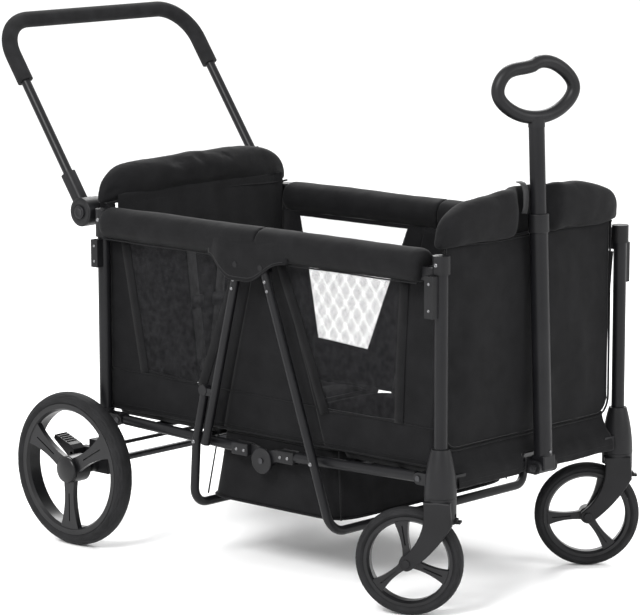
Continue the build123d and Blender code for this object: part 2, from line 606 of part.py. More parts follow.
keep_pair("top_rails_rear", top_rail(*END_PLATES["rear"]))
keep_pair("top_rails_front", front_half(top_rail(*END_PLATES["front"])))
keep_pair("top_pads_rear", top_pad(REAR_X + 17.5))
keep_pair("top_pads_front", front_half(top_pad(REAR_X + 36)))

# ---------------------------------------------------------------- leg hubs, legs and footwell bars
REAR_PIVOT = (MID_X - 43, TOP_MID_Z)
FRONT_PIVOT = (MID_X + 22, TOP_MID_Z)
REAR_LEG_FOOT = (MID_X - 133, 240.0)
FRONT_LEG_FOOT = (MID_X + FRONT_BAR_DX - 4, BAR_Z)
ARM_TOP = (MID_X - 135, 336.0)
LEG_BEND = 34.0

# plate hanging from the middle pivot of the top rails, with a riveted pin for each leg
hub_plate = [(MID_X - 52, 586), (MID_X - 50, 603), (MID_X + 30, 603), (MID_X + 32, 586)]
with BuildPart() as leg_hub:
    add(side_plate(hub_plate, 270.4, 274.9))
    add(across(MID_X, TOP_MID_Z, 253, 270.5, PIN_D / 2))
    for pivot in (REAR_PIVOT, FRONT_PIVOT):
        add(headed_pin(*pivot, 274.8, 292.7))
keep_pair("leg_hubs", leg_hub.part)


def beyond(start, stop, extra):
    """A point past start, on the line from stop through start."""
    length = math.hypot(start[0] - stop[0], start[1] - stop[1])
    share = extra / length
    return (start[0] + (start[0] - stop[0]) * share, start[1] + (start[1] - stop[1]) * share)


def leg_x(pivot, foot, z):
    """Where the centre line of a straight leg is, at that height."""
    return pivot[0] + (foot[0] - pivot[0]) * (pivot[1] - z) / (pivot[1] - foot[1])


def u_tube(points, radii):
    """A leg tube bent along points (x, z), given on the left side and repeated back on the right."""
    route = [(x, LEG_Y, z) for x, z in points] + [(x, -LEG_Y, z) for x, z in reversed(points)]
    with BuildPart() as body:
        with BuildLine() as line:
            FilletPolyline(*route, radius=radii)
        with BuildSketch(Plane(origin=route[0], z_dir=Vector(*route[1]) - Vector(*route[0]))):
            Circle(LEG_D / 2)
            Circle(LEG_D / 2 - WALL, mode=Mode.SUBTRACT)
        sweep(path=line.line)
    return body.part


rear_leg_top = beyond(REAR_PIVOT, REAR_LEG_FOOT, 9)
leg_ends = ((rear_leg_top[0], LEG_Y, rear_leg_top[1]), (REAR_LEG_FOOT[0], LEG_Y, REAR_LEG_FOOT[1]))
with BuildPart() as rear_leg:
    add(rod(*leg_ends, LEG_D, LEG_D - 3))
    add(across(*REAR_PIVOT, 270, 300, PIN_D / 2 + FIT), mode=Mode.SUBTRACT)
keep_pair("rear_legs", rear_leg.part)

with BuildPart() as front_legs:
    add(u_tube([beyond(FRONT_PIVOT, FRONT_LEG_FOOT, 9), FRONT_LEG_FOOT], [LEG_BEND] * 2))
    for y in (270, -300):
        add(across(*FRONT_PIVOT, y, y + 30, PIN_D / 2 + FIT), mode=Mode.SUBTRACT)
keep("front_legs", front_legs.part)

# rear footwell bar, hung from the rear legs by a moulded clip at each end
with BuildPart() as clip:
    add(across(ARM_TOP[0] + 2, ARM_TOP[1] + 9, 276, 292, 10.5))
    add(slab(ARM_TOP[0], ARM_TOP[0] + 24, 277, 291, ARM_TOP[1], ARM_TOP[1] + 14))
    add(rod(*leg_ends, LEG_D), mode=Mode.SUBTRACT)
clip_body = clip.part.solids().sort_by(SortBy.VOLUME)[-1]
with BuildPart() as rear_bar:
    add(u_tube([ARM_TOP, (MID_X - 157, 242), (MID_X - 165, BAR_Z)], [60, LEG_BEND, LEG_BEND, 60]))
    add(clip_body)
    add(mirror(clip_body, about=Plane.XZ))
keep("footwell_bar_rear", rear_bar.part)

# ---------------------------------------------------------------- fabric tub
# side fabric in three panels a side, parted along the legs
PART_GAP = 0.4                      # half the gap between neighbouring panels
rear_seam = [leg_x(REAR_PIVOT, REAR_LEG_FOOT, z) for z in (HEM_Z, WALL_TOP_Z)]
front_seam = [leg_x(FRONT_PIVOT, FRONT_LEG_FOOT, z) for z in (HEM_Z, WALL_TOP_Z)]


def side_panel(low_x, high_x):
    """A left fabric panel between the (hem, top) places of its two upright edges."""
    outline = [(low_x[0], HEM_Z), (low_x[1], WALL_TOP_Z), (high_x[1], WALL_TOP_Z), (high_x[0], HEM_Z)]
    return side_plate(outline, WALL_Y - SKIN, WALL_Y)


keep_pair("side_fabric_rear", side_panel([REAR_X + 14] * 2, [x - PART_GAP for x in rear_seam]))
keep_pair("side_fabric_centre", side_panel([x + PART_GAP for x in rear_seam],
                                           [x - PART_GAP for x in front_seam]))
with BuildPart() as front_side:
    add(side_panel([x + PART_GAP for x in front_seam], [FRONT_X - 14] * 2))
    add(slab(FRONT_X - 31, FRONT_X, 230, 260, 260, HOUSING_TOP_Z + 3), mode=Mode.SUBTRACT)
keep_pair("side_fabric_front", front_side.part)

with BuildPart() as footwell:
    add(side_plate([(MID_X - 152, BAG_TOP_Z), (MID_X - 175, BAG_BOTTOM_Z), (MID_X + 180, BAG_BOTTOM_Z),
                    (MID_X + 168, BAG_TOP_Z)], -244, 244))
    add(side_plate([(MID_X - 148.5, BAG_TOP_Z + 1), (MID_X - 171.3, BAG_BOTTOM_Z + SKIN),
                    (MID_X + 176.6, BAG_BOTTOM_Z + SKIN), (MID_X + 164.8, BAG_TOP_Z + 1)], -241, 241),
        mode=Mode.SUBTRACT)
keep("footwell_bag", footwell.part)

PANEL_TOP_Z = 668.0


def end_cap(x0, x1, z0, z_side, z_top, half_width):
    """Stuffed cap over the top of an end panel, arched across the wagon."""
    with BuildPart() as cap:
        with BuildSketch(Plane.YZ.offset(x0)):
            with BuildLine():
                Line((-half_width, z0), (half_width, z0))
                Line((half_width, z0), (half_width, z_side - 24))
                ThreePointArc((half_width, z_side - 24), (half_width - 7, z_side - 8),
                              (half_width - 24, z_side))
                ThreePointArc((half_width - 24, z_side), (0, z_top), (24 - half_width, z_side))
                ThreePointArc((24 - half_width, z_side), (7 - half_width, z_side - 8),
                              (-half_width, z_side - 24))
                Line((-half_width, z_side - 24), (-half_width, z0))
            make_face()
        extrude(amount=x1 - x0)
    return cap.part


keep("rear_panel", slab(REAR_X + 4.6, REAR_X + 16.6, -228, 228, 285, 672, 3))
keep("rear_cap", end_cap(REAR_X - 36, REAR_X + 16.6, 680, 738, 760, 264))
keep("front_panel", slab(FRONT_X - 21, FRONT_X - 9, -226, 226, 258, PANEL_TOP_Z, 3))

# the front cap bulges forward on both sides of the pull handle
with BuildPart() as front_cap:
    add(end_cap(FRONT_X - 28, FRONT_X + 20, 669.5, 748, 765, 260))
    add(slab(FRONT_X - 13, FRONT_X + 21, -28, 28, 660, 770), mode=Mode.SUBTRACT)
keep("front_cap", front_cap.part)

# ---------------------------------------------------------------- write the pieces
os.makedirs("parts", exist_ok=True)
for name, part in pieces.items():
    export_step(part, f"parts/{name}.step")
whole = Compound(children=[part for part in pieces.values()]).bounding_box()
print(f"{len(pieces)} pieces; X {whole.min.X:.2f} to {whole.max.X:.2f}, "
      f"Y {whole.min.Y:.2f} to {whole.max.Y:.2f}, Z {whole.min.Z:.2f} to {whole.max.Z:.2f}")
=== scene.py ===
"""Looks of the folding pull wagon: fabric, padding, webbing, tread and small hardware.

Places are given in millimetres by at(): x ahead of the rear posts, y to the wagon's left, z up.
"""

import json
import math

import bmesh
import bpy
import numpy as np
from mathutils import Matrix, Vector, noise


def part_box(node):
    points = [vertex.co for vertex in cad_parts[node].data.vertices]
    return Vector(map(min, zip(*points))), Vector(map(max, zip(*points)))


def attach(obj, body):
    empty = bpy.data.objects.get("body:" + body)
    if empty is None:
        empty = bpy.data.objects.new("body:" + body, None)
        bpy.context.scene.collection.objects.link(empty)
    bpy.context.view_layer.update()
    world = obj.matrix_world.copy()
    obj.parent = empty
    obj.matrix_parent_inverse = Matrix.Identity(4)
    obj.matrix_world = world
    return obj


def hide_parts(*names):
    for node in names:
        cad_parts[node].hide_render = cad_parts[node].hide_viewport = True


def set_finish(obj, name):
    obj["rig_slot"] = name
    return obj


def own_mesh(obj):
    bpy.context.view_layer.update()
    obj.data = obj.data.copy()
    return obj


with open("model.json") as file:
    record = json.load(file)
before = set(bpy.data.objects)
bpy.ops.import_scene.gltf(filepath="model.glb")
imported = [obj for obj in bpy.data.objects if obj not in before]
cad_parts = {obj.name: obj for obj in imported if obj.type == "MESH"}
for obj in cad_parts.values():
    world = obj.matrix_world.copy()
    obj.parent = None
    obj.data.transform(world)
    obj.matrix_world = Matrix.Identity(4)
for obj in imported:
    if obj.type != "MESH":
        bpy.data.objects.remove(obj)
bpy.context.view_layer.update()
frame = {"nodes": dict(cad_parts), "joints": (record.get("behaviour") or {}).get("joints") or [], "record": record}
bpy.context.scene.view_settings.view_transform = "Standard"

MM = 0.001
NET_PITCH = 0.0027
SIDES = {"left": 1, "right": -1}


def middle(node, axis):
    """Middle of a CAD node's box along one axis, in metres."""
    low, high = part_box(node)
    return (low[axis] + high[axis]) / 2


REAR_X = middle("rear_posts", 0)
FRONT_X = middle("front_posts", 0)
SPAN = (FRONT_X - REAR_X) / MM
MID = SPAN / 2
POST_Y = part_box("rear_posts")[1][1] / MM - 12.5


def at(x, y, z):
    """A point x mm ahead of the rear posts, y mm to the left, z mm up, in metres."""
    return Vector((REAR_X + x * MM, y * MM, z * MM))


# ---------------------------------------------------------------- materials
class Shader:
    """A node material being put together."""

    def __init__(self, name, colour, roughness, **inputs):
        self.material = bpy.data.materials.new(name)
        self.material.use_nodes = True
        self.tree = self.material.node_tree
        self.surface = self.tree.nodes["Principled BSDF"]
        self.surface.inputs["Base Color"].default_value = (*colour, 1)
        self.surface.inputs["Roughness"].default_value = roughness
        for key, value in inputs.items():
            self.surface.inputs[key.replace("_", " ")].default_value = value
        self.place = self.node("ShaderNodeTexCoord").outputs["Object"]
        self.height = None

    def node(self, kind, **values):
        made = self.tree.nodes.new(kind)
        for key, value in values.items():
            setattr(made, key, value)
        return made

    def link(self, source, target):
        self.tree.links.new(source, target)

    def stretched(self, scale):
        """Object coordinates multiplied by a scale for each axis."""
        mapping = self.node("ShaderNodeMapping")
        mapping.inputs["Scale"].default_value = scale
        self.link(self.place, mapping.inputs["Vector"])
        return mapping.outputs["Vector"]

    def noise(self, scale, detail=3.0, stretch=(1, 1, 1)):
        made = self.node("ShaderNodeTexNoise")
        made.inputs["Scale"].default_value = scale
        made.inputs["Detail"].default_value = detail
        self.link(self.stretched(stretch), made.inputs["Vector"])
        return made.outputs["Fac"]

    def waves(self, spacing, axis, distortion=0.0):
        """Parallel threads, spacing in metres."""
        made = self.node("ShaderNodeTexWave", wave_type="BANDS", bands_direction=axis)
        made.inputs["Scale"].default_value = 0.314 / spacing
        made.inputs["Distortion"].default_value = distortion
        self.link(self.place, made.inputs["Vector"])
        return made.outputs["Fac"]

    def math(self, operation, a, b):
        made = self.node("ShaderNodeMath", operation=operation)
        for socket, value in zip(made.inputs, (a, b)):
            if isinstance(value, (int, float)):
                socket.default_value = value
            else:
                self.link(value, socket)
        return made.outputs[0]

    def ramp(self, value, stops):
        """Colours (position, (r, g, b)) along a value."""
        made = self.node("ShaderNodeValToRGB")
        elements = made.color_ramp.elements
        while len(elements) < len(stops):
            elements.new(0.5)
        for element, (position, colour) in zip(elements, stops):
            element.position = position
            element.color = (*colour, 1)
        self.link(value, made.inputs["Fac"])
        return made.outputs["Color"]

    def shade(self, value, dark, light, low=0.3, high=0.7):
        """Base colour between two tones, following a value."""
        self.link(self.ramp(value, [(low, dark), (high, light)]), self.surface.inputs["Base Color"])

    def vary_roughness(self, value, low, high):
        spread = self.node("ShaderNodeMapRange")
        self.link(value, spread.inputs["Value"])
        spread.inputs["To Min"].default_value = low
        spread.inputs["To Max"].default_value = high
        self.link(spread.outputs["Result"], self.surface.inputs["Roughness"])

    def bump(self, value, distance, strength=0.6):
        made = self.node("ShaderNodeBump")
        made.inputs["Distance"].default_value = distance
        made.inputs["Strength"].default_value = strength
        self.link(value, made.inputs["Height"])
        if self.height:
            self.link(self.height, made.inputs["Normal"])
        self.height = made.outputs["Normal"]
        self.link(self.height, self.surface.inputs["Normal"])


def fabric(name, dark, light, thread=0.0011, sheen=0.25, roughness=0.82, crumple=0.0):
    """Plain-woven synthetic cloth with fine threads and slow tone changes."""
    made = Shader(name, light, roughness)
    made.surface.inputs["Sheen Weight"].default_value = sheen
    made.surface.inputs["Sheen Roughness"].default_value = 0.45
    made.surface.inputs["Specular IOR Level"].default_value = 0.13
    made.shade(made.noise(26, 5), dark, light)
    made.vary_roughness(made.noise(55, 2), roughness - 0.08, roughness + 0.08)
    weave = made.math("MULTIPLY", made.waves(thread, "DIAGONAL"), made.waves(thread * 0.83, "Z"))
    made.bump(weave, 0.00025, 0.55)
    if crumple:
        made.bump(made.noise(11, 5, (1, 1, 0.5)), crumple * 3.2, 0.55)
        made.bump(made.noise(38, 4, (0.6, 0.6, 1.3)), crumple, 0.6)
    return made.material


def mesh_cloth():
    """Open net: two sets of fine slanting threads with clear holes between them."""
    made = Shader("window_mesh", (0.02, 0.02, 0.022), 0.7, Specular_IOR_Level=0.1)
    slopes = []
    for turn in (0.6, -0.6):
        mapping = made.node("ShaderNodeMapping")
        mapping.inputs["Rotation"].default_value = (0, turn, 0)
        made.link(made.place, mapping.inputs["Vector"])
        threads = made.node("ShaderNodeTexWave", wave_type="BANDS", bands_direction="X")
        threads.inputs["Scale"].default_value = 0.314 / NET_PITCH
        made.link(mapping.outputs["Vector"], threads.inputs["Vector"])
        slopes.append(threads.outputs["Fac"])
    thickest = made.math("MAXIMUM", *slopes)
    made.link(made.math("GREATER_THAN", thickest, 0.9), made.surface.inputs["Alpha"])
    made.shade(made.noise(90, 2), (0.01, 0.01, 0.011), (0.03, 0.03, 0.032))
    made.bump(thickest, 0.0003, 0.5)
    return made.material


def moulded(name, colour, roughness=0.5, grain=0.00012, gloss=0.2):
    """Moulded plastic with a fine spark-eroded grain and slightly worn tone."""
    made = Shader(name, colour, roughness, Specular_IOR_Level=gloss)
    darker = tuple(c * 0.7 for c in colour)
    lighter = tuple(c * 1.35 for c in colour)
    made.shade(made.noise(14, 4), darker, lighter)
    made.vary_roughness(made.noise(60, 3), roughness - 0.07, roughness + 0.09)
    made.bump(made.noise(1900, 2), grain, 0.5)
    return made.material


def paint():
    """Satin black powder coat with orange peel."""
    made = Shader("black_powder_coat", (0.005, 0.005, 0.006), 0.34, Specular_IOR_Level=0.19)
    made.shade(made.noise(8, 3), (0.0035, 0.0035, 0.0042), (0.007, 0.007, 0.008))
    made.vary_roughness(made.noise(120, 3), 0.30, 0.44)
    made.bump(made.noise(850, 2), 0.0001, 0.45)
    return made.material


def rubber(name, colour, roughness, pores):
    """Foam rubber: matt, dusty, fine pores."""
    made = Shader(name, colour, roughness)
    made.surface.inputs["Specular IOR Level"].default_value = 0.2
    made.shade(made.noise(40, 6), tuple(c * 0.65 for c in colour), tuple(c * 1.5 for c in colour))
    made.bump(made.noise(1300, 3), pores, 0.7)
    made.bump(made.noise(160, 3), pores, 0.4)
    return made.material


def metal(name, colour, roughness):
    """Plated fastener steel with fine brushing."""
    made = Shader(name, colour, roughness, Metallic=0.9)
    made.vary_roughness(made.noise(300, 3, (1, 0.1, 1)), roughness - 0.08, roughness + 0.12)
    made.shade(made.noise(120, 4), tuple(c * 0.75 for c in colour), tuple(c * 1.2 for c in colour))
    made.bump(made.noise(900, 2, (1, 0.2, 1)), 0.00008, 0.4)
    return made.material


def webbing():
    """Woven strap with ribs across it."""
    made = Shader("strap_webbing", (0.006, 0.006, 0.007), 0.66)
    made.surface.inputs["Sheen Weight"].default_value = 0.05
    ribs = made.math("ADD", made.waves(0.0022, "Z"), made.math("MULTIPLY", made.waves(0.0011, "DIAGONAL"), 0.5))
    made.shade(made.noise(200, 3), (0.0035, 0.0035, 0.004), (0.0085, 0.0085, 0.0095))
    made.bump(ribs, 0.0004, 0.7)
    return made.material


COVER = fabric("cover_polyester", (0.0026, 0.0026, 0.003), (0.0052, 0.0052, 0.0058), sheen=0.035, crumple=0.0016)
TUB = fabric("tub_polyester", (0.0024, 0.0024, 0.0028), (0.0048, 0.0048, 0.0054), 0.0013, 0.03, crumple=0.0018)
QUILT = fabric("quilted_lining", (0.0028, 0.0028, 0.0032), (0.0056, 0.0056, 0.0063), 0.0009, 0.04, crumple=0.0012)
PIPING = fabric("bias_piping", (0.0022, 0.0022, 0.0026), (0.0042, 0.0042, 0.0048), 0.0007, 0.03, 0.62)
MESH = mesh_cloth()
PAINT = paint()
PLASTIC = moulded("black_nylon", (0.0055, 0.0055, 0.0062), 0.44)
RIM = moulded("rim_nylon", (0.0048, 0.0048, 0.0055), 0.32, 0.00005, 0.26)
BUTTON = moulded("button_nylon", (0.0075, 0.0075, 0.0085), 0.4)
TYRE = rubber("foam_tyre", (0.0075, 0.0075, 0.0082), 0.74, 0.00025)
FOAM = rubber("handle_foam", (0.006, 0.006, 0.0066), 0.84, 0.0004)
STEEL = metal("black_zinc", (0.045, 0.045, 0.048), 0.36)
RIVET = metal("rivet_steel", (0.17, 0.17, 0.175), 0.33)
STRAP = webbing()

SLOT_OF = {
    "cover_polyester": "pad_fabric", "tub_polyester": "tub_fabric", "quilted_lining": "cushion_fabric",
    "bias_piping": "pad_fabric", "window_mesh": "tub_fabric", "black_powder_coat": "frame_paint",
    "black_nylon": "black_plastic", "rim_nylon": "rim_plastic", "button_nylon": "button_plastic",
    "foam_tyre": "tyre_rubber", "handle_foam": "grip_foam", "black_zinc": "dark_steel",
    "rivet_steel": "dark_steel", "strap_webbing": "tub_fabric",
}
NODE_LOOK = {
    "frame_paint": PAINT, "black_plastic": PLASTIC, "rim_plastic": RIM, "button_plastic": BUTTON,
    "tyre_rubber": TYRE, "grip_foam": FOAM, "dark_steel": STEEL, "tub_fabric": TUB,
    "pad_fabric": COVER, "cushion_fabric": QUILT,
}
for entry in frame["record"]["subparts"]:
    shown = frame["nodes"][entry["node"]]
    for slot in shown.material_slots:
        slot.material = NODE_LOOK[entry["material_slot"]]


# ---------------------------------------------------------------- making meshes
def add_object(name, data, look, body):
    made = bpy.data.objects.new(name, data)
    bpy.context.scene.collection.objects.link(made)
    data.materials.append(look)
    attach(made, body)
    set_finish(made, SLOT_OF[look.name])
    return made


def from_points(name, points, faces, look, body):
    data = bpy.data.meshes.new(name)
    data.from_pydata([tuple(p) for p in points], [], faces)
    data.validate()
    data.polygons.foreach_set("use_smooth", [True] * len(data.polygons))
    return add_object(name, data, look, body)


def grid_faces(rows, columns, wrap_rows=False, wrap_columns=False, start=0):
    """Quads between rows x columns points."""
    faces = []
    for i in range(rows if wrap_rows else rows - 1):
        for j in range(columns if wrap_columns else columns - 1):
            a, b = i * columns + j, i * columns + (j + 1) % columns
            c, d = ((i + 1) % rows) * columns + (j + 1) % columns, ((i + 1) % rows) * columns + j
            faces.append(tuple(start + k for k in (a, b, c, d)))
    return faces


def turn_out(data):
    """Makes all faces of a closed mesh look outwards."""
    shell = bmesh.new()
    shell.from_mesh(data)
    bmesh.ops.recalc_face_normals(shell, faces=shell.faces)
    shell.to_mesh(data)
    shell.free()


def loft(name, rings, look, body):
    """Closed skin over rings of points, with a fan of faces over each end."""
    columns = len(rings[0])
    points = [p for ring in rings for p in ring]
    faces = grid_faces(len(rings), columns, wrap_columns=True)
    for k in (0, len(rings) - 1):
        points.append(sum(rings[k], Vector()) / columns)
        centre = len(points) - 1
        faces += [(k * columns + j, k * columns + (j + 1) % columns, centre) for j in range(columns)]
    made = from_points(name, points, faces, look, body)
    turn_out(made.data)
    return made


def tube(name, points, radius, look, body, closed=False, sides=3):
    """A round bead along points, such as piping, as a mesh."""
    data = bpy.data.curves.new(name, "CURVE")
    data.dimensions = "3D"
    data.bevel_depth = radius
    data.bevel_resolution = sides
    data.use_fill_caps = True
    data.resolution_u = 6
    spline = data.splines.new("NURBS")
    spline.points.add(len(points) - 1)
    for target, p in zip(spline.points, points):
        target.co = (*p, 1)
    spline.use_cyclic_u = closed
    spline.order_u = 3
    spline.use_endpoint_u = not closed
    line = bpy.data.objects.new(name, data)
    bpy.context.scene.collection.objects.link(line)
    made = bpy.data.meshes.new_from_object(line.evaluated_get(bpy.context.evaluated_depsgraph_get()))
    bpy.data.objects.remove(line)
    made.polygons.foreach_set("use_smooth", [True] * len(made.polygons))
    made.materials.clear()
    return add_object(name, made, look, body)


def band(name, points, normals, width, thickness, look, body):
    """Flat strap along points; normals look out of its face."""
    rings = []
    for i, p in enumerate(points):
        along = (points[min(i + 1, len(points) - 1)] - points[max(i - 1, 0)]).normalized()
        out = Vector(normals[i]).normalized()
        side = along.cross(out).normalized() * (width / 2)
        out = side.cross(along).normalized() * (thickness / 2)
        rings.append([p + side * 0.96 + out, p + side, p + side * 0.96 - out,
                      p - side * 0.96 - out, p - side, p - side * 0.96 + out])
    return loft(name, rings, look, body)


def ripple(piece, depth, size, stretch=(1, 1, 1), seed=0.0, share=None):
    """Soft folds: moves each point along its normal by smooth noise of that size."""
    data = piece.data
    shift = Vector((seed, seed * 1.7, -seed))
    for vertex in data.vertices:
        co = vertex.co
        spot = Vector((co.x * stretch[0], co.y * stretch[1], co.z * stretch[2])) / size + shift
        amount = noise.noise(spot) + 0.5 * noise.noise(spot * 2.1)
        if share:
            amount *= share(co)
        vertex.co = co + vertex.normal * (amount * depth)


CLOTH_STEPS, CLOTH_PRESSURE, CLOTH_STIFFNESS = 20, 4.0, 15.0


def inflate(piece, cap, voxel=0.005, still=None):
    """Swells a closed form as stuffed cloth; no point moves more than cap, and those in still stay."""
    scene = bpy.context.scene
    work = piece.copy()
    work.data = piece.data.copy()
    scene.collection.objects.link(work)
    remesh = work.modifiers.new("Remesh", "REMESH")
    remesh.mode = "VOXEL"
    remesh.voxel_size = voxel
    fine = bpy.data.meshes.new_from_object(work.evaluated_get(bpy.context.evaluated_depsgraph_get()))
    work.modifiers.clear()
    work.data = fine
    if still:
        held = work.vertex_groups.new(name="held")
        held.add([v.index for v in fine.vertices if still(v.co)], 1.0, "REPLACE")
    cloth = work.modifiers.new("Cloth", "CLOTH")
    cloth.settings.quality = 4
    cloth.settings.mass = 0.25
    cloth.settings.tension_stiffness = CLOTH_STIFFNESS
    cloth.settings.compression_stiffness = CLOTH_STIFFNESS
    cloth.settings.use_pressure = True
    cloth.settings.uniform_pressure_force = CLOTH_PRESSURE
    cloth.settings.effector_weights.gravity = 0
    if still:
        cloth.settings.vertex_group_mass = "held"
    cloth.point_cache.frame_start = 1
    cloth.point_cache.frame_end = CLOTH_STEPS
    for step in range(1, CLOTH_STEPS + 1):
        scene.frame_set(step)
    settled = work.evaluated_get(bpy.context.evaluated_depsgraph_get()).to_mesh()
    before = np.empty(len(fine.vertices) * 3)
    after = np.empty(len(fine.vertices) * 3)
    fine.vertices.foreach_get("co", before)
    settled.vertices.foreach_get("co", after)
    moved = (after - before).reshape(-1, 3)
    length = np.linalg.norm(moved, axis=1, keepdims=True)
    moved *= np.minimum(1.0, cap / np.maximum(length, 1e-9))
    fine.vertices.foreach_set("co", (before.reshape(-1, 3) + moved).ravel())
    fine.polygons.foreach_set("use_smooth", [True] * len(fine.polygons))
    scene.frame_set(1)
    work.evaluated_get(bpy.context.evaluated_depsgraph_get()).to_mesh_clear()
    old = piece.data
    piece.data = fine
    if not fine.materials:
        fine.materials.append(old.materials[0])
    bpy.data.objects.remove(work)
    smooth = piece.modifiers.new("Subdivision", "SUBSURF")
    smooth.levels = smooth.render_levels = 1
    return piece


def mirrored(piece, name, body):
    """The piece's mirror image across the wagon's centre plane."""
    data = piece.data.copy()
    for vertex in data.vertices:
        vertex.co.y = -vertex.co.y
    data.flip_normals()
    made = bpy.data.objects.new(name, data)
    bpy.context.scene.collection.objects.link(made)
    for modifier in piece.modifiers:
        copy = made.modifiers.new(modifier.name, modifier.type)
        if modifier.type == "SUBSURF":
            copy.levels = copy.render_levels = modifier.levels
    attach(made, body)
    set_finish(made, piece["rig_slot"] if "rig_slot" in piece else SLOT_OF[data.materials[0].name])
    return made


def squircle(angle, power):
    """Unit rounded-square point at that angle."""
    c, s = math.cos(angle), math.sin(angle)
    return (math.copysign(abs(c) ** (2 / power), c), math.copysign(abs(s) ** (2 / power), s))


def smoothstep(value):
    value = min(1.0, max(0.0, value))
    return value * value * (3 - 2 * value)


# ---------------------------------------------------------------- padded rail covers and centre flap
RAIL_AXIS_Z = 635.0
COVER_TURNS = 40


def cover_ring(x, y, radius, flat=1.0):
    ring = []
    for k in range(COVER_TURNS):
        c, s = squircle(2 * math.pi * k / COVER_TURNS, 2.25)
        ring.append(at(x, y + radius * flat * c, RAIL_AXIS_Z + radius * s))
    return ring


def rail_cover(name, body, x_end, x_mid):
    """Stuffed sleeve of one right-hand rail, rounded at its post end."""
    rings = []
    for i in range(61):
        share = i / 60
        x = x_end + (x_mid - x_end) * share
        from_end = abs(x - x_end)
        radius = 30.6 - 7 * (1 - min(1.0, from_end / 13)) ** 2
        rings.append(cover_ring(x, -POST_Y, radius))
    made = loft(name, rings, COVER, body)
    inflate(made, 0.0035, still=lambda co: abs(co.x / MM - (REAR_X / MM + x_mid)) < 5 or co.z < 0.6065)
    ripple(made, 0.0013, 0.045, (0.6, 1, 1), seed=x_end * 0.01)
    return made


for end, body, x_end, x_mid in (("rear", "rear_top", 10, MID - 0.6), ("front", "front_top", SPAN - 36, MID + 0.6)):
    near = rail_cover(f"rail_cover_{end}_right", body, x_end, x_mid)
    far = mirrored(near, f"rail_cover_{end}_left", body)
    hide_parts(f"top_pads_{end}")
    for cover, sign in ((near, -1), (far, 1)):
        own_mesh(cover)
    for side, sign in SIDES.items():
        x_far = MID - 116 if end == "rear" else MID + 78
        steps = np.linspace(x_end + (6 if end == "rear" else -6), x_far, 12)
        bead = [at(x, sign * (POST_Y + 17.5), 604.6 + 0.5 * math.sin(x / 31)) for x in steps]
        bead = tube(f"rail_cover_piping_{end}_{side}", bead, 1.5 * MM, PIPING, body)
        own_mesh(bead)


FLAP_R = 33.4                 # the flap lies on the covers at this radius


def flap_edge(x):
    """Height of the flap's lobed lower edge, x from the middle."""
    return 607 - 40 * smoothstep((x + 120) / 66) * (1 - smoothstep((x + 14) / 84))


def flap_point(x, down, sign):
    """Point of the flap, x from the middle and down from 0 at its top to 1 at its edge."""
    z = 654 + (flap_edge(x) - 654) * down
    lift = max(0.0, FLAP_R ** 2 - (z - RAIL_AXIS_Z) ** 2)
    on_cover = math.sqrt(lift) if z > RAIL_AXIS_Z else FLAP_R
    fade = smoothstep((x + 123) / 40) * smoothstep((83 - x) / 36) * smoothstep(down / 0.35)
    wave = 0.8 * math.sin(x / 21 + down * 3) * down
    return at(MID + x, sign * (POST_Y + on_cover - 8.0 * (1 - fade) + 2.4 * down * fade + wave), z)


FLAP_STEPS = np.linspace(-122, 82, 42)
for side, sign in SIDES.items():
    rows = [[flap_point(x, down, sign) for x in FLAP_STEPS] for down in np.linspace(0, 1, 15)]
    flap = from_points(f"centre_flap_{side}", [p for row in rows for p in row], grid_faces(15, 42), COVER, "leg_hub")
    thick = flap.modifiers.new("Thickness", "SOLIDIFY")
    thick.thickness = 1.6 * MM
    thick.offset = 0
    edge = [flap_point(x, 1, sign) for x in FLAP_STEPS[::2]]
    tube(f"centre_flap_piping_{side}", edge, 1.6 * MM, PIPING, "leg_hub")
    stitch = [flap_point(x, 0.93, sign) + Vector((0, sign * 0.9 * MM, 0)) for x in FLAP_STEPS[1:-1:2]]
    tube(f"centre_flap_stitching_{side}", stitch, 0.35 * MM, STRAP, "leg_hub", sides=1)


# ---------------------------------------------------------------- stuffed end caps and panels
CROSS_BAR_Z = middle("front_cross_bar", 2) / MM


def cap_rings(half_width, z_low, z_side, z_top, front_of, back_of):
    """Rings across the wagon of an arched cap; front_of and back_of give its faces at each y."""
    rings = []
    for i in range(85):
        angle = math.pi * i / 84
        y = -half_width * math.cos(angle)
        reach = abs(y) / half_width
        full = z_top - (z_top - z_side) * reach ** 2 - z_low
        height = full * max(0.02, 1 - reach ** 7) ** (1 / 2.4)
        x0, x1 = back_of(y), front_of(y)
        ring = []
        for k in range(36):
            c, s = squircle(2 * math.pi * k / 36, 2.7)
            squeeze = max(0.12, 1 - reach ** 7) ** 0.5
            ring.append(at((x0 + x1) / 2 + c * (x1 - x0) / 2 * squeeze, y, z_low + height / 2 + s * height / 2))
        rings.append(ring)
    return rings


rear_cap = loft("rear_cap_padding", cap_rings(259, 668, 738, 757, lambda y: 12, lambda y: -33), COVER, "rear_frame")
inflate(rear_cap, 0.009, still=lambda co: co.z < 0.674 or abs(co.y) > 0.254)
ripple(rear_cap, 0.0036, 0.065, (1, 0.7, 1.1), seed=2.2)
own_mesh(rear_cap)
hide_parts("rear_cap")


def front_cap_face(y):
    """The cap's front face steps back where the pull handle passes."""
    return SPAN - 17 + 34 * smoothstep((abs(y) - 24) / 46) - 8 * smoothstep((abs(y) - 215) / 40)


front_cap = loft("front_cap_padding", cap_rings(256, 666, 738, 757, front_cap_face, lambda y: SPAN - 34),
                 COVER, "front_frame")
inflate(front_cap, 0.008, still=lambda co: co.z < 0.673 or abs(co.y) > 0.250 or abs(co.y) < 0.028)
ripple(front_cap, 0.0034, 0.06, (1, 0.8, 1), seed=5.1)


def gathers(co):
    """Folds run to the pull handle, strongest beside it."""
    return 1.0 - smoothstep((abs(co.y) / MM - 40) / 90)


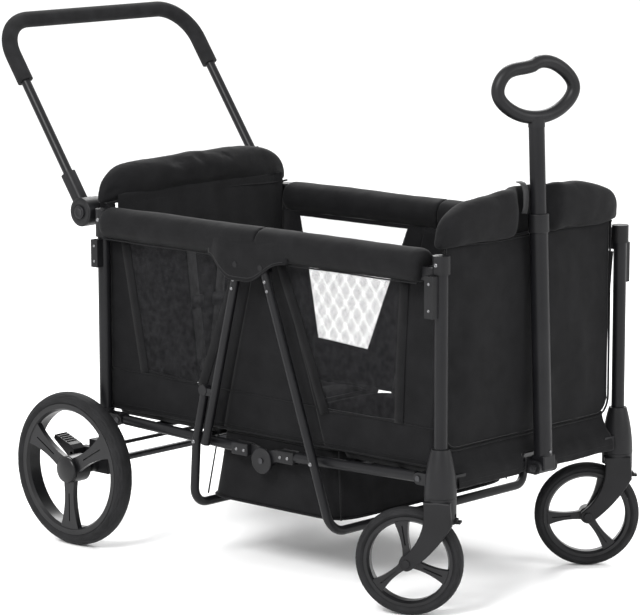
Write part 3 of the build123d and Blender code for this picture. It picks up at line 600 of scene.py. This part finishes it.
ripple(front_cap, 0.0024, 0.03, (1, 1, 0.3), seed=7.7, share=gathers)
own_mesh(front_cap)
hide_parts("front_cap")


def panel_rings(half_width, z0, z1, x0, x1, corner):
    """Rings at rising heights of a padded panel with round lower corners."""
    rings = []
    for i in range(61):
        z = z0 + (z1 - z0) * i / 60
        rise = min(1.0, (z - z0) / corner)
        width = half_width - corner * (1 - math.sqrt(max(0.0, 1 - (1 - rise) ** 2)))
        ring = []
        for k in range(72):
            c, s = squircle(2 * math.pi * k / 72, 7)
            ring.append(at((x0 + x1) / 2 + c * (x1 - x0) / 2, width * s, z))
        rings.append(ring)
    return rings


def panel_edge(half_width, z0, z1, x, corner, inset=0.0):
    """Points down one side of a panel, round its lower corners and up the other."""
    width = half_width - inset
    points = [at(x, -width, z) for z in np.linspace(z1, z0 + corner, 9)]
    for k in range(1, 7):
        angle = math.pi / 2 * k / 7
        points.append(at(x, -width + corner * (1 - math.cos(angle)), z0 + inset + corner * (1 - math.sin(angle))))
    flipped = [Vector((p.x, -p.y, p.z)) for p in reversed(points)]
    return points + [at(x, y, z0 + inset) for y in np.linspace(-width + corner, width - corner, 12)] + flipped


front_panel = loft("front_panel_padding", panel_rings(241, 295, 668, SPAN - 19, SPAN - 10, 36), COVER, "front_frame")
inflate(front_panel, 0.0055, voxel=0.006,
        still=lambda co: abs(co.y) > 0.230 or co.z < 0.306 or co.z > 0.658)
ripple(front_panel, 0.0034, 0.10, (1, 1.4, 0.5), seed=3.3)
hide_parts("front_panel")
tube("front_panel_piping", panel_edge(241, 295, 666, SPAN - 10.5, 36), 2.1 * MM, PIPING, "front_frame")
tube("front_panel_stitching", panel_edge(241, 295, 666, SPAN - 9.2, 30, 7), 0.45 * MM, STRAP, "front_frame", sides=1)

rear_panel = loft("rear_panel_padding", panel_rings(236, 284, 690, 5, 14, 30), QUILT, "rear_frame")
inflate(rear_panel, 0.0045, voxel=0.007, still=lambda co: abs(co.y) > 0.228 or co.z < 0.295 or co.z > 0.665)
ripple(rear_panel, 0.0036, 0.10, (1, 1.3, 0.4), seed=1.4)
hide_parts("rear_panel")
tube("rear_panel_piping", panel_edge(236, 284, 660, 6, 30), 2.0 * MM, PIPING, "rear_frame")
for name, body, x, half_width, z in (("front_cap_piping", "front_frame", SPAN - 9, 250, 666),
                                     ("rear_cap_piping", "rear_frame", 12, 254, 669)):
    across = np.linspace(-half_width, half_width, 30)
    bead = [at(x - 6 * (abs(y) / half_width) ** 6, y, z + 2.5 * math.sin(y / 47)) for y in across]
    tube(name, bead, 2.0 * MM, PIPING, body)


def skirt_point(share, y):
    """Skirt under the front panel: out over the cross bar and down in front of it, short at the pull handle."""
    reach = share * (0.42 + 0.58 * smoothstep((abs(y) - 34) / 16))
    path = [(-15, 303), (-11, 287), (-3, 270), (7, 259.5), (13.5, 250), (15.5, 241), (15, 233)]
    place = reach * (len(path) - 1)
    k = min(int(place), len(path) - 2)
    x = path[k][0] + (path[k + 1][0] - path[k][0]) * (place - k)
    z = path[k][1] + (path[k + 1][1] - path[k][1]) * (place - k)
    slack = noise.noise(Vector((y / 31, z / 70, 4.2)))
    return at(SPAN + x + 2.6 * slack * share, y, z + 2.2 * slack * share)


SKIRT_WIDE = np.linspace(-226, 226, 110)
skirt_points = [skirt_point(share, y) for share in np.linspace(0, 1, 15) for y in SKIRT_WIDE]
skirt = from_points("front_panel_skirt", skirt_points, grid_faces(15, 110), TUB, "front_frame")
skirt.modifiers.new("Thickness", "SOLIDIFY").thickness = 1.2 * MM
tube("front_skirt_piping", [skirt_point(1, y) for y in SKIRT_WIDE[::3]], 1.9 * MM, PIPING, "front_frame")
skirt_seam = [skirt_point(0.8, y) + Vector((0.8 * MM, 0, 0)) for y in SKIRT_WIDE[::3]]
tube("front_skirt_seam", skirt_seam, 0.6 * MM, PIPING, "front_frame", sides=1)
for side, sign in SIDES.items():
    rings = []
    for i, y in enumerate(np.linspace(46, 196, 44)):
        ring = []
        for k in range(24):
            angle = 2 * math.pi * k / 24
            slack = 0.9 * noise.noise(Vector((y / 14 + 2 * math.cos(angle), 1.6 * math.sin(angle), sign * 3.0)))
            radius = 11.6 + slack - 1.2 * (1 - min(1.0, min(i, 43 - i) / 2))
            ring.append(at(SPAN + radius * math.cos(angle), sign * y, CROSS_BAR_Z + radius * math.sin(angle)))
        rings.append(ring)
    sleeve = loft(f"cross_bar_sleeve_{side}", rings, TUB, "front_frame")

strap_spots = [at(SPAN + x, -27 - 2 * math.sin(z / 9), z)
               for x, z in ((-16, 765), (-6, 763), (1, 757), (4, 748), (3, 736), (1, 722), (-1, 708))]
band("cap_strap", strap_spots, [(0.2, 0, 1), (0.5, 0, 1), (1, 0, 0.6), (1, 0, 0.2), (1, 0, 0), (1, 0, 0), (1, 0, 0)],
     15 * MM, 1.6 * MM, STRAP, "front_frame")


# ---------------------------------------------------------------- side fabric with mesh windows
LEG_TOP_Z, HEM_Z, WALL_TOP_Z, WALL_Y = 595.5, 266.0, 608.0, 241.4


def leg_line(pivot_x, foot_x, foot_z, z):
    return pivot_x + (foot_x - pivot_x) * (LEG_TOP_Z - z) / (LEG_TOP_Z - foot_z)


REAR_SEAM = [leg_line(MID - 43, MID - 133, 240, z) for z in (HEM_Z, WALL_TOP_Z)]
FRONT_SEAM = [leg_line(MID + 22, MID + 190, 119, z) for z in (HEM_Z, WALL_TOP_Z)]
REAR_WINDOW = [(104, 351), (54, 599), (346, 600), (240, 343)]
FRONT_WINDOW = [(579, 335), (470, 599), (753, 599), (740, 341)]
SECTIONS = {
    "rear": ([(-2, HEM_Z), (-4, WALL_TOP_Z), (REAR_SEAM[1], WALL_TOP_Z), (REAR_SEAM[0], HEM_Z)],
             REAR_WINDOW, "rear_frame", 0),
    "centre": ([(REAR_SEAM[0], HEM_Z), (REAR_SEAM[1], WALL_TOP_Z), (FRONT_SEAM[1], WALL_TOP_Z),
                (FRONT_SEAM[0], HEM_Z)], None, "leg_hub", MID),
    "front": ([(FRONT_SEAM[0], HEM_Z), (FRONT_SEAM[1], WALL_TOP_Z), (SPAN - 3, WALL_TOP_Z), (SPAN - 34, HEM_Z)],
              FRONT_WINDOW, "front_frame", SPAN),
}


def patch(corners, rows, columns):
    """Points of a four-cornered patch, corners in order (a, b, c, d); rows run from a-b to d-c."""
    a, b, c, d = (Vector(p) for p in corners)
    points = []
    for i in range(rows):
        for j in range(columns):
            s, t = i / (rows - 1), j / (columns - 1)
            points.append(a.lerp(b, t).lerp(d.lerp(c, t), s))
    return points


def crumpled(spot, sign, depth):
    """A slack cloth point at (x, z): folds lean with the noise and hang downwards."""
    x, z = spot
    folds = noise.noise(Vector((x / 62, z / 190, 3.1 * sign))) + 0.45 * noise.noise(Vector((x / 24, z / 60, 8.0)))
    return at(x, sign * (WALL_Y + depth * folds), z)


def outline_area(corners):
    return abs(sum(a[0] * b[1] - b[0] * a[1] for a, b in zip(corners, corners[1:] + corners[:1]))) / 2 * 1e-6


def declare_sheet(outer, inner=None):
    xs, zs = [p[0] for p in outer], [p[1] for p in outer]
    flat = ((max(xs) - min(xs)) * MM, (max(zs) - min(zs)) * MM)
    area = outline_area(outer) - (outline_area(inner) if inner else 0)
    area = max(area, 0.301 * flat[0] * flat[1])


def fold_up(piece):
    """Gives the piece a mesh of its own."""
    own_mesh(piece)


for side, sign in SIDES.items():
    for section, (outer, window, body, anchor_x) in SECTIONS.items():
        points, faces = [], []
        patches = [outer] if not window else [
            [outer[k], outer[(k + 1) % 4], window[(k + 1) % 4], window[k]] for k in range(4)]
        for corners in patches:
            rows, columns = (26, 26) if not window else (9, 26)
            faces += grid_faces(rows, columns, start=len(points))
            points += [crumpled(p, sign, 2.0) for p in patch(corners, rows, columns)]
        wall = from_points(f"side_wall_{section}_{side}", points, faces, TUB, body)
        shell = bmesh.new()
        shell.from_mesh(wall.data)
        bmesh.ops.remove_doubles(shell, verts=shell.verts, dist=0.0001)
        bmesh.ops.recalc_face_normals(shell, faces=shell.faces)
        shell.to_mesh(wall.data)
        shell.free()
        thick = wall.modifiers.new("Thickness", "SOLIDIFY")
        thick.thickness = 1.4 * MM
        thick.offset = 0
        declare_sheet(outer, window)
        fold_up(wall)
        if sign > 0:
            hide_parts(f"side_fabric_{section}")
        if not window:
            continue
        net_points = [at(p[0], sign * (WALL_Y - 0.6), p[1]) for p in patch(window, 12, 12)]
        net = from_points(f"window_mesh_{section}_{side}", net_points, grid_faces(12, 12), MESH, body)
        declare_sheet(window)
        fold_up(net)
        for edge, (low, high) in {"left": (window[0], window[1]), "right": (window[3], window[2])}.items():
            lean = -11 if edge == "left" else 11
            spots = [Vector(low).lerp(Vector(high), t) + Vector((lean, 0)) for t in np.linspace(-0.02, 1, 22)]
            strip = [crumpled(p, sign, 2.0) + Vector((0, sign * 1.7 * MM, 0)) for p in spots]
            binding = band(f"window_binding_{section}_{edge}_{side}", strip, [(0, sign, 0)] * len(strip),
                           22 * MM, 1.8 * MM, COVER, body)
            fold_up(binding)
        sill = [Vector(window[0]).lerp(Vector(window[3]), t) for t in np.linspace(0, 1, 14)]
        lip = tube(f"window_sill_{section}_{side}", [crumpled(p, sign, 2.0) for p in sill], 1.7 * MM, PIPING, body)
        fold_up(lip)

    for section, x0, x1, body, anchor_x in (("rear", 0, REAR_SEAM[0] + 12, "rear_frame", 0),
                                            ("centre", REAR_SEAM[0] + 12, FRONT_SEAM[0] - 26, "leg_hub", MID),
                                            ("front", FRONT_SEAM[0] - 26, SPAN - 30, "front_frame", SPAN)):
        steps = np.linspace(x0, x1, 16)
        for label, z, radius in (("hem", HEM_Z + 1, 2.4), ("band_seam", 345.0, 1.5), ("hem_seam", HEM_Z + 10, 0.7)):
            path = [crumpled(Vector((x, z - (x / SPAN) * (8 if label == "band_seam" else 0))), sign, 2.0)
                    + Vector((0, sign * 0.8 * MM, 0)) for x in steps]
            bead = tube(f"side_{label}_{section}_{side}", path, radius * MM, PIPING, body)
            fold_up(bead)


# ---------------------------------------------------------------- footwell bag
BAG_TOP_Z, BAG_DEPTH, BAG_KEEP = 262, 133, 0.16


def bag_loop(z, turns=120):
    """Points round the footwell bag at that height; it widens a little towards the bottom."""
    drop = (BAG_TOP_Z - z) / BAG_DEPTH
    x0, x1 = 281 - 25 * drop, 600 + 12 * drop
    half_y = 238 + 7 * drop
    loop = []
    for k in range(turns):
        c, s = squircle(2 * math.pi * (k + 0.5) / turns, 9)
        loop.append(((x0 + x1) / 2 + c * (x1 - x0) / 2, s * half_y))
    return loop


bag_points = []
for z in np.linspace(BAG_TOP_Z, 130.5, 20):
    for x, y in bag_loop(z):
        inward = Vector(((x - MID) / 180, y / 245, 0)).normalized()
        slack = noise.noise(Vector((x / 38, y / 38, z / 150))) * 4.0
        slack *= math.sin(math.pi * (BAG_TOP_Z - z) / 140)
        bag_points.append(at(x - inward.x * (2.2 + slack), y - inward.y * (2.2 + slack), z))
for shrink in (0.97, 0.9, 0.75, 0.5, 0.25):
    for x, y in bag_loop(129):
        sag = 1.2 * noise.noise(Vector((x / 60, y / 60, 0)))
        bag_points.append(at(MID + 2 + (x - MID - 2) * shrink, y * shrink, 130.0 + sag * shrink))
bag = from_points("footwell_bag_fabric", bag_points, grid_faces(25, 120, wrap_columns=True), TUB, "leg_hub")
bag_mesh = bmesh.new()
bag_mesh.from_mesh(bag.data)
bottom_edges = [e for e in bag_mesh.edges if e.is_boundary and e.verts[0].co.z < 0.2]
bmesh.ops.holes_fill(bag_mesh, edges=bottom_edges, sides=0)
bmesh.ops.recalc_face_normals(bag_mesh, faces=bag_mesh.faces)
bag_mesh.to_mesh(bag.data)
bag_mesh.free()
bag.modifiers.new("Thickness", "SOLIDIFY").thickness = 1.6 * MM
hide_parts("footwell_bag")
for label, z, radius in (("rim", 262.0, 2.4), ("band", 236.0, 0.9), ("base", 131.5, 2.0)):
    loop = [at(x, y, z) for x, y in bag_loop(z, 48)]
    fold_up(tube(f"footwell_{label}_piping", loop, radius * MM, PIPING, "leg_hub", closed=True))
for side_x, label in ((-1, "rear"), (1, "front")):
    for side, sign in SIDES.items():
        spots = []
        for z in np.linspace(260, 132, 8):
            drop = (BAG_TOP_Z - z) / BAG_DEPTH
            x = 281 - 25 * drop if side_x < 0 else 600 + 12 * drop
            spots.append(at(x - side_x * 5, sign * (238 + 7 * drop - 5), z))
        fold_up(tube(f"footwell_corner_{label}_{side}", spots, 1.6 * MM, PIPING, "leg_hub"))
fold_up(bag)


# ---------------------------------------------------------------- quilted floor pads
def floor_pad(name, node, body, x0, x1):
    """Quilted pad: stuffed between cross seams, thin at the seams and edges."""
    rings = []
    for i in range(49):
        share = i / 48
        x = x0 + (x1 - x0) * share
        crown = abs(math.sin(3 * math.pi * share)) ** 0.5
        edge = min(1.0, min(share, 1 - share) * 14)
        top = 263 + 10 * crown * math.sqrt(edge) + 1.5 * edge
        ring = []
        for k in range(64):
            c, s = squircle(2 * math.pi * k / 64, 6)
            reach = abs(c) ** 12
            ring.append(at(x, c * 231, 259 + (s * 0.5 + 0.5) * (top - 259) * (1 - 0.35 * reach)))
        rings.append(ring)
    made = loft(name, rings, QUILT, body)
    inflate(made, 0.003, voxel=0.006, still=lambda co: co.z < 0.261)
    ripple(made, 0.0016, 0.06, seed=9.0, share=lambda co: smoothstep((co.z - 0.262) / 0.006))
    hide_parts(node)
    loop = [at(x, y, 262.5) for x, y in
            ((x0, -226), (x0, 0), (x0, 226), (x0 + 5, 231), ((x0 + x1) / 2, 232), (x1 - 5, 231),
             (x1, 226), (x1, 0), (x1, -226), (x1 - 5, -231), ((x0 + x1) / 2, -232), (x0 + 5, -231))]
    tube(f"{name}_piping", loop, 2.2 * MM, PIPING, body, closed=True)


floor_pad("floor_pad_rear_quilt", "floor_pad_rear", "rear_floor", 71, 249)
floor_pad("floor_pad_front_quilt", "floor_pad_front", "front_floor", SPAN - 71, SPAN - 249)


# ---------------------------------------------------------------- tub floor
for end, body, x0, x1 in (("rear", "rear_floor", 18, 274), ("front", "front_floor", SPAN - 18, SPAN - 250)):
    points = []
    for x in np.linspace(x0, x1, 24):
        for y in np.linspace(-240, 240, 97):
            sag = 0.9 * noise.noise(Vector((x / 45, y / 45, 1.5)))
            points.append(at(x, y, 252.6 - 0.6 * abs(sag) + 17 * smoothstep((abs(y) - 229) / 12)))
    ground = from_points(f"tub_floor_{end}", points, grid_faces(24, 97), TUB, body)
    ground.modifiers.new("Thickness", "SOLIDIFY").thickness = 1.2 * MM


# ---------------------------------------------------------------- harness
def harness_strap(name, y_top, y_low):
    spots, normals = [], []
    for share in np.linspace(0, 1, 18):
        sway = 1.5 * math.sin(share * 9)
        spots.append(at(22.5 + sway * 0.4 + 4 * math.sin(math.pi * share), y_top + (y_low - y_top) * share ** 1.4,
                        590 - 270 * share))
        normals.append((1, 0, 0.05))
    band(name, spots, normals, 24 * MM, 1.5 * MM, STRAP, "rear_frame")


for side, sign in SIDES.items():
    harness_strap(f"harness_strap_{side}", sign * 46, sign * 13)


def rounded_block(name, centre, size, look, body, turn=None):
    """Small moulded block with rounded edges."""
    data = bpy.data.meshes.new(name)
    block = bmesh.new()
    bmesh.ops.create_cube(block, size=1)
    bmesh.ops.scale(block, vec=Vector(size) * MM, verts=block.verts)
    bmesh.ops.bevel(block, geom=block.edges[:], offset=min(size) * 0.28 * MM, segments=3, affect="EDGES")
    if turn:
        bmesh.ops.rotate(block, cent=(0, 0, 0), matrix=turn, verts=block.verts)
    bmesh.ops.translate(block, vec=centre, verts=block.verts)
    block.to_mesh(data)
    block.free()
    data.polygons.foreach_set("use_smooth", [True] * len(data.polygons))
    return add_object(name, data, look, body)


rounded_block("harness_buckle", at(26, 0, 312), (11, 44, 40), PLASTIC, "rear_frame")
for side, sign in SIDES.items():
    rounded_block(f"harness_adjuster_{side}", at(27, sign * 30, 452), (7, 33, 26), PLASTIC, "rear_frame")
    rounded_block(f"harness_anchor_{side}", at(20, sign * 46, 592), (4, 36, 18), STRAP, "rear_frame")


# ---------------------------------------------------------------- fasteners
def domes(name, places, look, body):
    """Domed heads in one piece; places are (centre, normal, radius, height) in mm sizes."""
    points, faces = [], []
    for centre, normal, radius, height in places:
        turn = Vector((0, 0, 1)).rotation_difference(Vector(normal)).to_matrix()
        start = len(points)
        profile = [(1.0, 0.0), (1.0, 0.35), (0.88, 0.72), (0.6, 0.95), (0.42, 1.0), (0.36, 0.62), (0.05, 0.55)]
        for reach, rise in profile:
            for k in range(16):
                angle = 2 * math.pi * k / 16
                spot = Vector((reach * radius * math.cos(angle), reach * radius * math.sin(angle), rise * height))
                points.append(centre + turn @ spot * MM)
        faces += grid_faces(len(profile), 16, wrap_columns=True, start=start)
        faces.append(tuple(start + k for k in range(16)))
        faces.append(tuple(start + (len(profile) - 1) * 16 + k for k in range(16)))
    made = from_points(name, points, faces, look, body)
    turn_out(made.data)
    return made


def both(places):
    """The given right-hand places (x, y, z, radius, height) on both sides of the wagon."""
    return [(at(x, sign * y, z), (0, sign, 0), radius, height)
            for x, y, z, radius, height in places for sign in SIDES.values()]


SLEEVE_Y, LEG_Y = POST_Y + 11.4, 284 + 8.2
domes("rail_rivets_rear", both([(MID - 66, SLEEVE_Y, 238.6, 3.4, 1.8), (MID - 47, SLEEVE_Y, 238, 3.4, 1.8)]),
      RIVET, "rear_floor")
domes("rail_rivets_front", both([(MID + 47, SLEEVE_Y, 238, 3.4, 1.8), (MID + 66, SLEEVE_Y, 238.6, 3.4, 1.8)]),
      RIVET, "front_floor")
domes("leg_rivets_rear", both([(MID - 49.5, LEG_Y, 566, 3.4, 2), (MID - 53.5, LEG_Y, 549, 3.4, 2)]),
      RIVET, "rear_leg_frame")
domes("leg_rivets_front", both([(MID + 31.5, LEG_Y, 570, 3.4, 2), (MID + 37.5, LEG_Y, 553, 3.4, 2),
                                (MID + 146, LEG_Y, 243, 4.2, 2.6)]), RIVET, "front_leg_frame")
domes("footwell_bar_rivets", both([(MID - 157, LEG_Y, 243, 4.2, 2.6)]), RIVET, "rear_leg_frame")
domes("rear_frame_rivets", both([(0, 284.8, 560, 2.8, 1.4), (0, 284.8, 590, 2.8, 1.4), (0, 274, 640, 4, 2),
                                 (0, 274, 216, 3.6, 2), (-26, 268.6, 186, 3.6, 2)]), RIVET, "rear_frame")
domes("front_frame_rivets", both([(SPAN - 7, 284.8, 560, 2.8, 1.4), (SPAN - 7, 284.8, 608, 2.8, 1.4),
                                  (SPAN, 273.6, 641, 4, 2.2), (SPAN, POST_Y + 19.4, 287, 3.6, 2.4)]),
      RIVET, "front_frame")
domes("pull_tube_rivet", [(at(SPAN + 44, 0, 268), (1, 0, 0), 3, 2)], RIVET, "pull_handle")


# ---------------------------------------------------------------- tyres and hub caps
HUB_X, HUB_Z = -49, 650


def joint_place(name):
    """A joint's centre and its axis."""
    joint = next(j for j in frame["joints"] if j["name"] == name)
    return Vector(joint["pos_m"]), Vector(joint["axis"]).normalized()


def tread_tyre(name, node, joint, body, waves):
    """Foam tyre with a chain of lens shapes pressed into both shoulders and a fine centre rib."""
    low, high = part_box(node)
    radius = (high[2] - low[2]) / 2 / MM
    seat, half = (130.0, 21.0) if radius > 120 else (83.0, 16.0)
    centre, axis = joint_place(joint)
    turn = Vector((0, 0, 1)).rotation_difference(axis).to_matrix()
    shoulder = 0.72 * half
    profile = [(seat, -0.78 * half), (seat + 4, -0.84 * half)]
    profile += [(radius - shoulder + shoulder * math.cos(a), half * math.sin(a))
                for a in np.linspace(-math.pi / 2, math.pi / 2, 41)]
    profile += [(seat + 4, 0.84 * half), (seat, 0.78 * half)]
    columns = 336
    points = []
    for row, (r, z) in enumerate(profile):
        lean = math.asin(max(-1.0, min(1.0, z / half)))
        for k in range(columns):
            angle = 2 * math.pi * k / columns
            depth = 0.0
            if 2 <= row <= 42:
                place = abs(math.degrees(lean))
                swing = 13 * math.sin(waves * angle / 2)
                for line in (56 + swing, 56 - swing):
                    depth += 1.0 * math.exp(-((place - line) / 3.2) ** 2)
                depth += 0.7 * math.exp(-((place - 24) / 2.0) ** 2)
                if place < 20:
                    depth += 0.35 * max(0.0, math.sin(waves * 3 * angle + lean * 4)) ** 6
            rr = r - depth * math.cos(lean)
            zz = z - depth * math.sin(lean)
            points.append(centre + turn @ Vector((rr * math.cos(angle), rr * math.sin(angle), zz)) * MM)
    made = from_points(name, points, grid_faces(len(profile), columns, True, True), TYRE, body)
    turn_out(made.data)
    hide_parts(node)


def turned_rim(name, node, joint, body, degrees):
    """The rim's own shape with its spokes turned about the axle to where the wheel stands."""
    centre, axis = joint_place(joint)
    data = frame["nodes"][node].data.copy()
    turn = Matrix.Rotation(math.radians(degrees) * (-1 if axis.y > 0 else 1), 4, axis)
    data.transform(Matrix.Translation(centre) @ turn @ Matrix.Translation(-centre))
    data.materials.clear()
    made = add_object(name, data, RIM, body)
    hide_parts(node)


def lathe(name, profile, centre, axis, look, body, columns=64):
    """Turned piece: profile is (radius, height) in mm along the axis."""
    turn = Vector((0, 0, 1)).rotation_difference(Vector(axis)).to_matrix()
    rings = []
    for r, z in profile:
        ring = []
        for k in range(columns):
            angle = 2 * math.pi * k / columns
            ring.append(centre + turn @ Vector((r * math.cos(angle), r * math.sin(angle), z)) * MM)
        rings.append(ring)
    return loft(name, rings, look, body)


for side, sign in SIDES.items():
    tread_tyre(f"rear_tyre_{side}_tread", f"rear_tyre_{side}", f"rear_wheel_{side}_spin", f"rear_wheel_{side}", 28)
    tread_tyre(f"front_tyre_{side}_tread", f"front_tyre_{side}", f"front_wheel_{side}_spin", f"front_wheel_{side}", 22)
    centre, axis = joint_place(f"rear_wheel_{side}_spin")
    lathe(f"rear_hub_cap_{side}", [(25.8, 17.2), (26.3, 19), (26.1, 22), (25.2, 23.6), (22, 25.2),
                                   (16, 26.8), (9, 27.9), (1, 28.4)], centre, axis * sign, RIM, f"rear_wheel_{side}")
    turned_rim(f"front_rim_{side}_spokes", f"front_rim_{side}", f"front_wheel_{side}_spin", f"front_wheel_{side}",
               35 if side == "left" else -50)
    centre, axis = joint_place(f"front_wheel_{side}_spin")
    lathe(f"front_hub_cap_{side}", [(13.5, -18.9), (13.5, -16), (14.2, -15.2)][::-1] + [(9, -19.4), (2, -19.8)],
          centre, -axis, RIM, f"front_wheel_{side}")
for side, sign in SIDES.items():
    spot = at(HUB_X, sign * 279, HUB_Z)
    lathe(f"push_button_dish_{side}", [(9.6, -0.5), (9.6, 0.5), (8.6, 0.7), (7.8, 0.2), (1, 0.05)], spot,
          (0, sign, 0), BUTTON, f"push_button_{side}")
    lathe(f"push_hub_ring_{side}",
          [(25.5, -1.0), (25.5, 0.6), (23.8, 0.9), (16.5, 0.9), (15.4, 0.4), (15.4, -1.0)],
          at(HUB_X, sign * 275, HUB_Z), (0, sign, 0), PLASTIC, "push_handle")


# ---------------------------------------------------------------- stage, light and camera
def stage_and_light():
    floor_data = bpy.data.meshes.new("studio_floor")
    floor_data.from_pydata([(-14, -14, 0), (14, -14, 0), (14, 14, 0), (-14, 14, 0)], [], [(0, 1, 2, 3)])
    floor = bpy.data.objects.new("studio_floor", floor_data)
    bpy.context.scene.collection.objects.link(floor)
    pale = Shader("studio_floor", (0.94, 0.94, 0.94), 0.7)
    pale.shade(pale.noise(3, 2), (0.93, 0.93, 0.93), (0.95, 0.95, 0.95))
    floor_data.materials.append(pale.material)
    world = bpy.data.worlds.new("studio")
    bpy.context.scene.world = world
    world.use_nodes = True
    world.node_tree.nodes["Background"].inputs["Color"].default_value = (1, 1, 1, 1)
    world.node_tree.nodes["Background"].inputs["Strength"].default_value = 1.25
    for name, spot, power, size in (("key", (0.9, -3.6, 3.2), 190, 1.4), ("fill", (4.0, 0.6, 2.4), 70, 1.8),
                                    ("rim", (-2.4, 2.6, 3.4), 120, 1.8)):
        data = bpy.data.lights.new(name, "AREA")
        data.energy = power
        data.size = size
        lamp = bpy.data.objects.new(name, data)
        bpy.context.scene.collection.objects.link(lamp)
        lamp.location = spot
        lamp.rotation_euler = (Vector((0, 0, 0.4)) - Vector(spot)).to_track_quat("-Z", "Y").to_euler()


def set_camera():
    """The view the wagon is shown from: to its front and right, a little above."""
    data = bpy.data.cameras.new("camera")
    data.lens = 182.84
    data.sensor_width = 36
    data.shift_x, data.shift_y = -0.0593, 0.0658
    data.clip_end = 60
    camera = bpy.data.objects.new("camera", data)
    bpy.context.scene.collection.objects.link(camera)
    target = at(432, 0, 400)
    camera.location = at(4557.2, -4565.2, 1531.4)
    camera.rotation_euler = (target - camera.location).to_track_quat("-Z", "Y").to_euler()
    bpy.context.scene.camera = camera


stage_and_light()
set_camera()
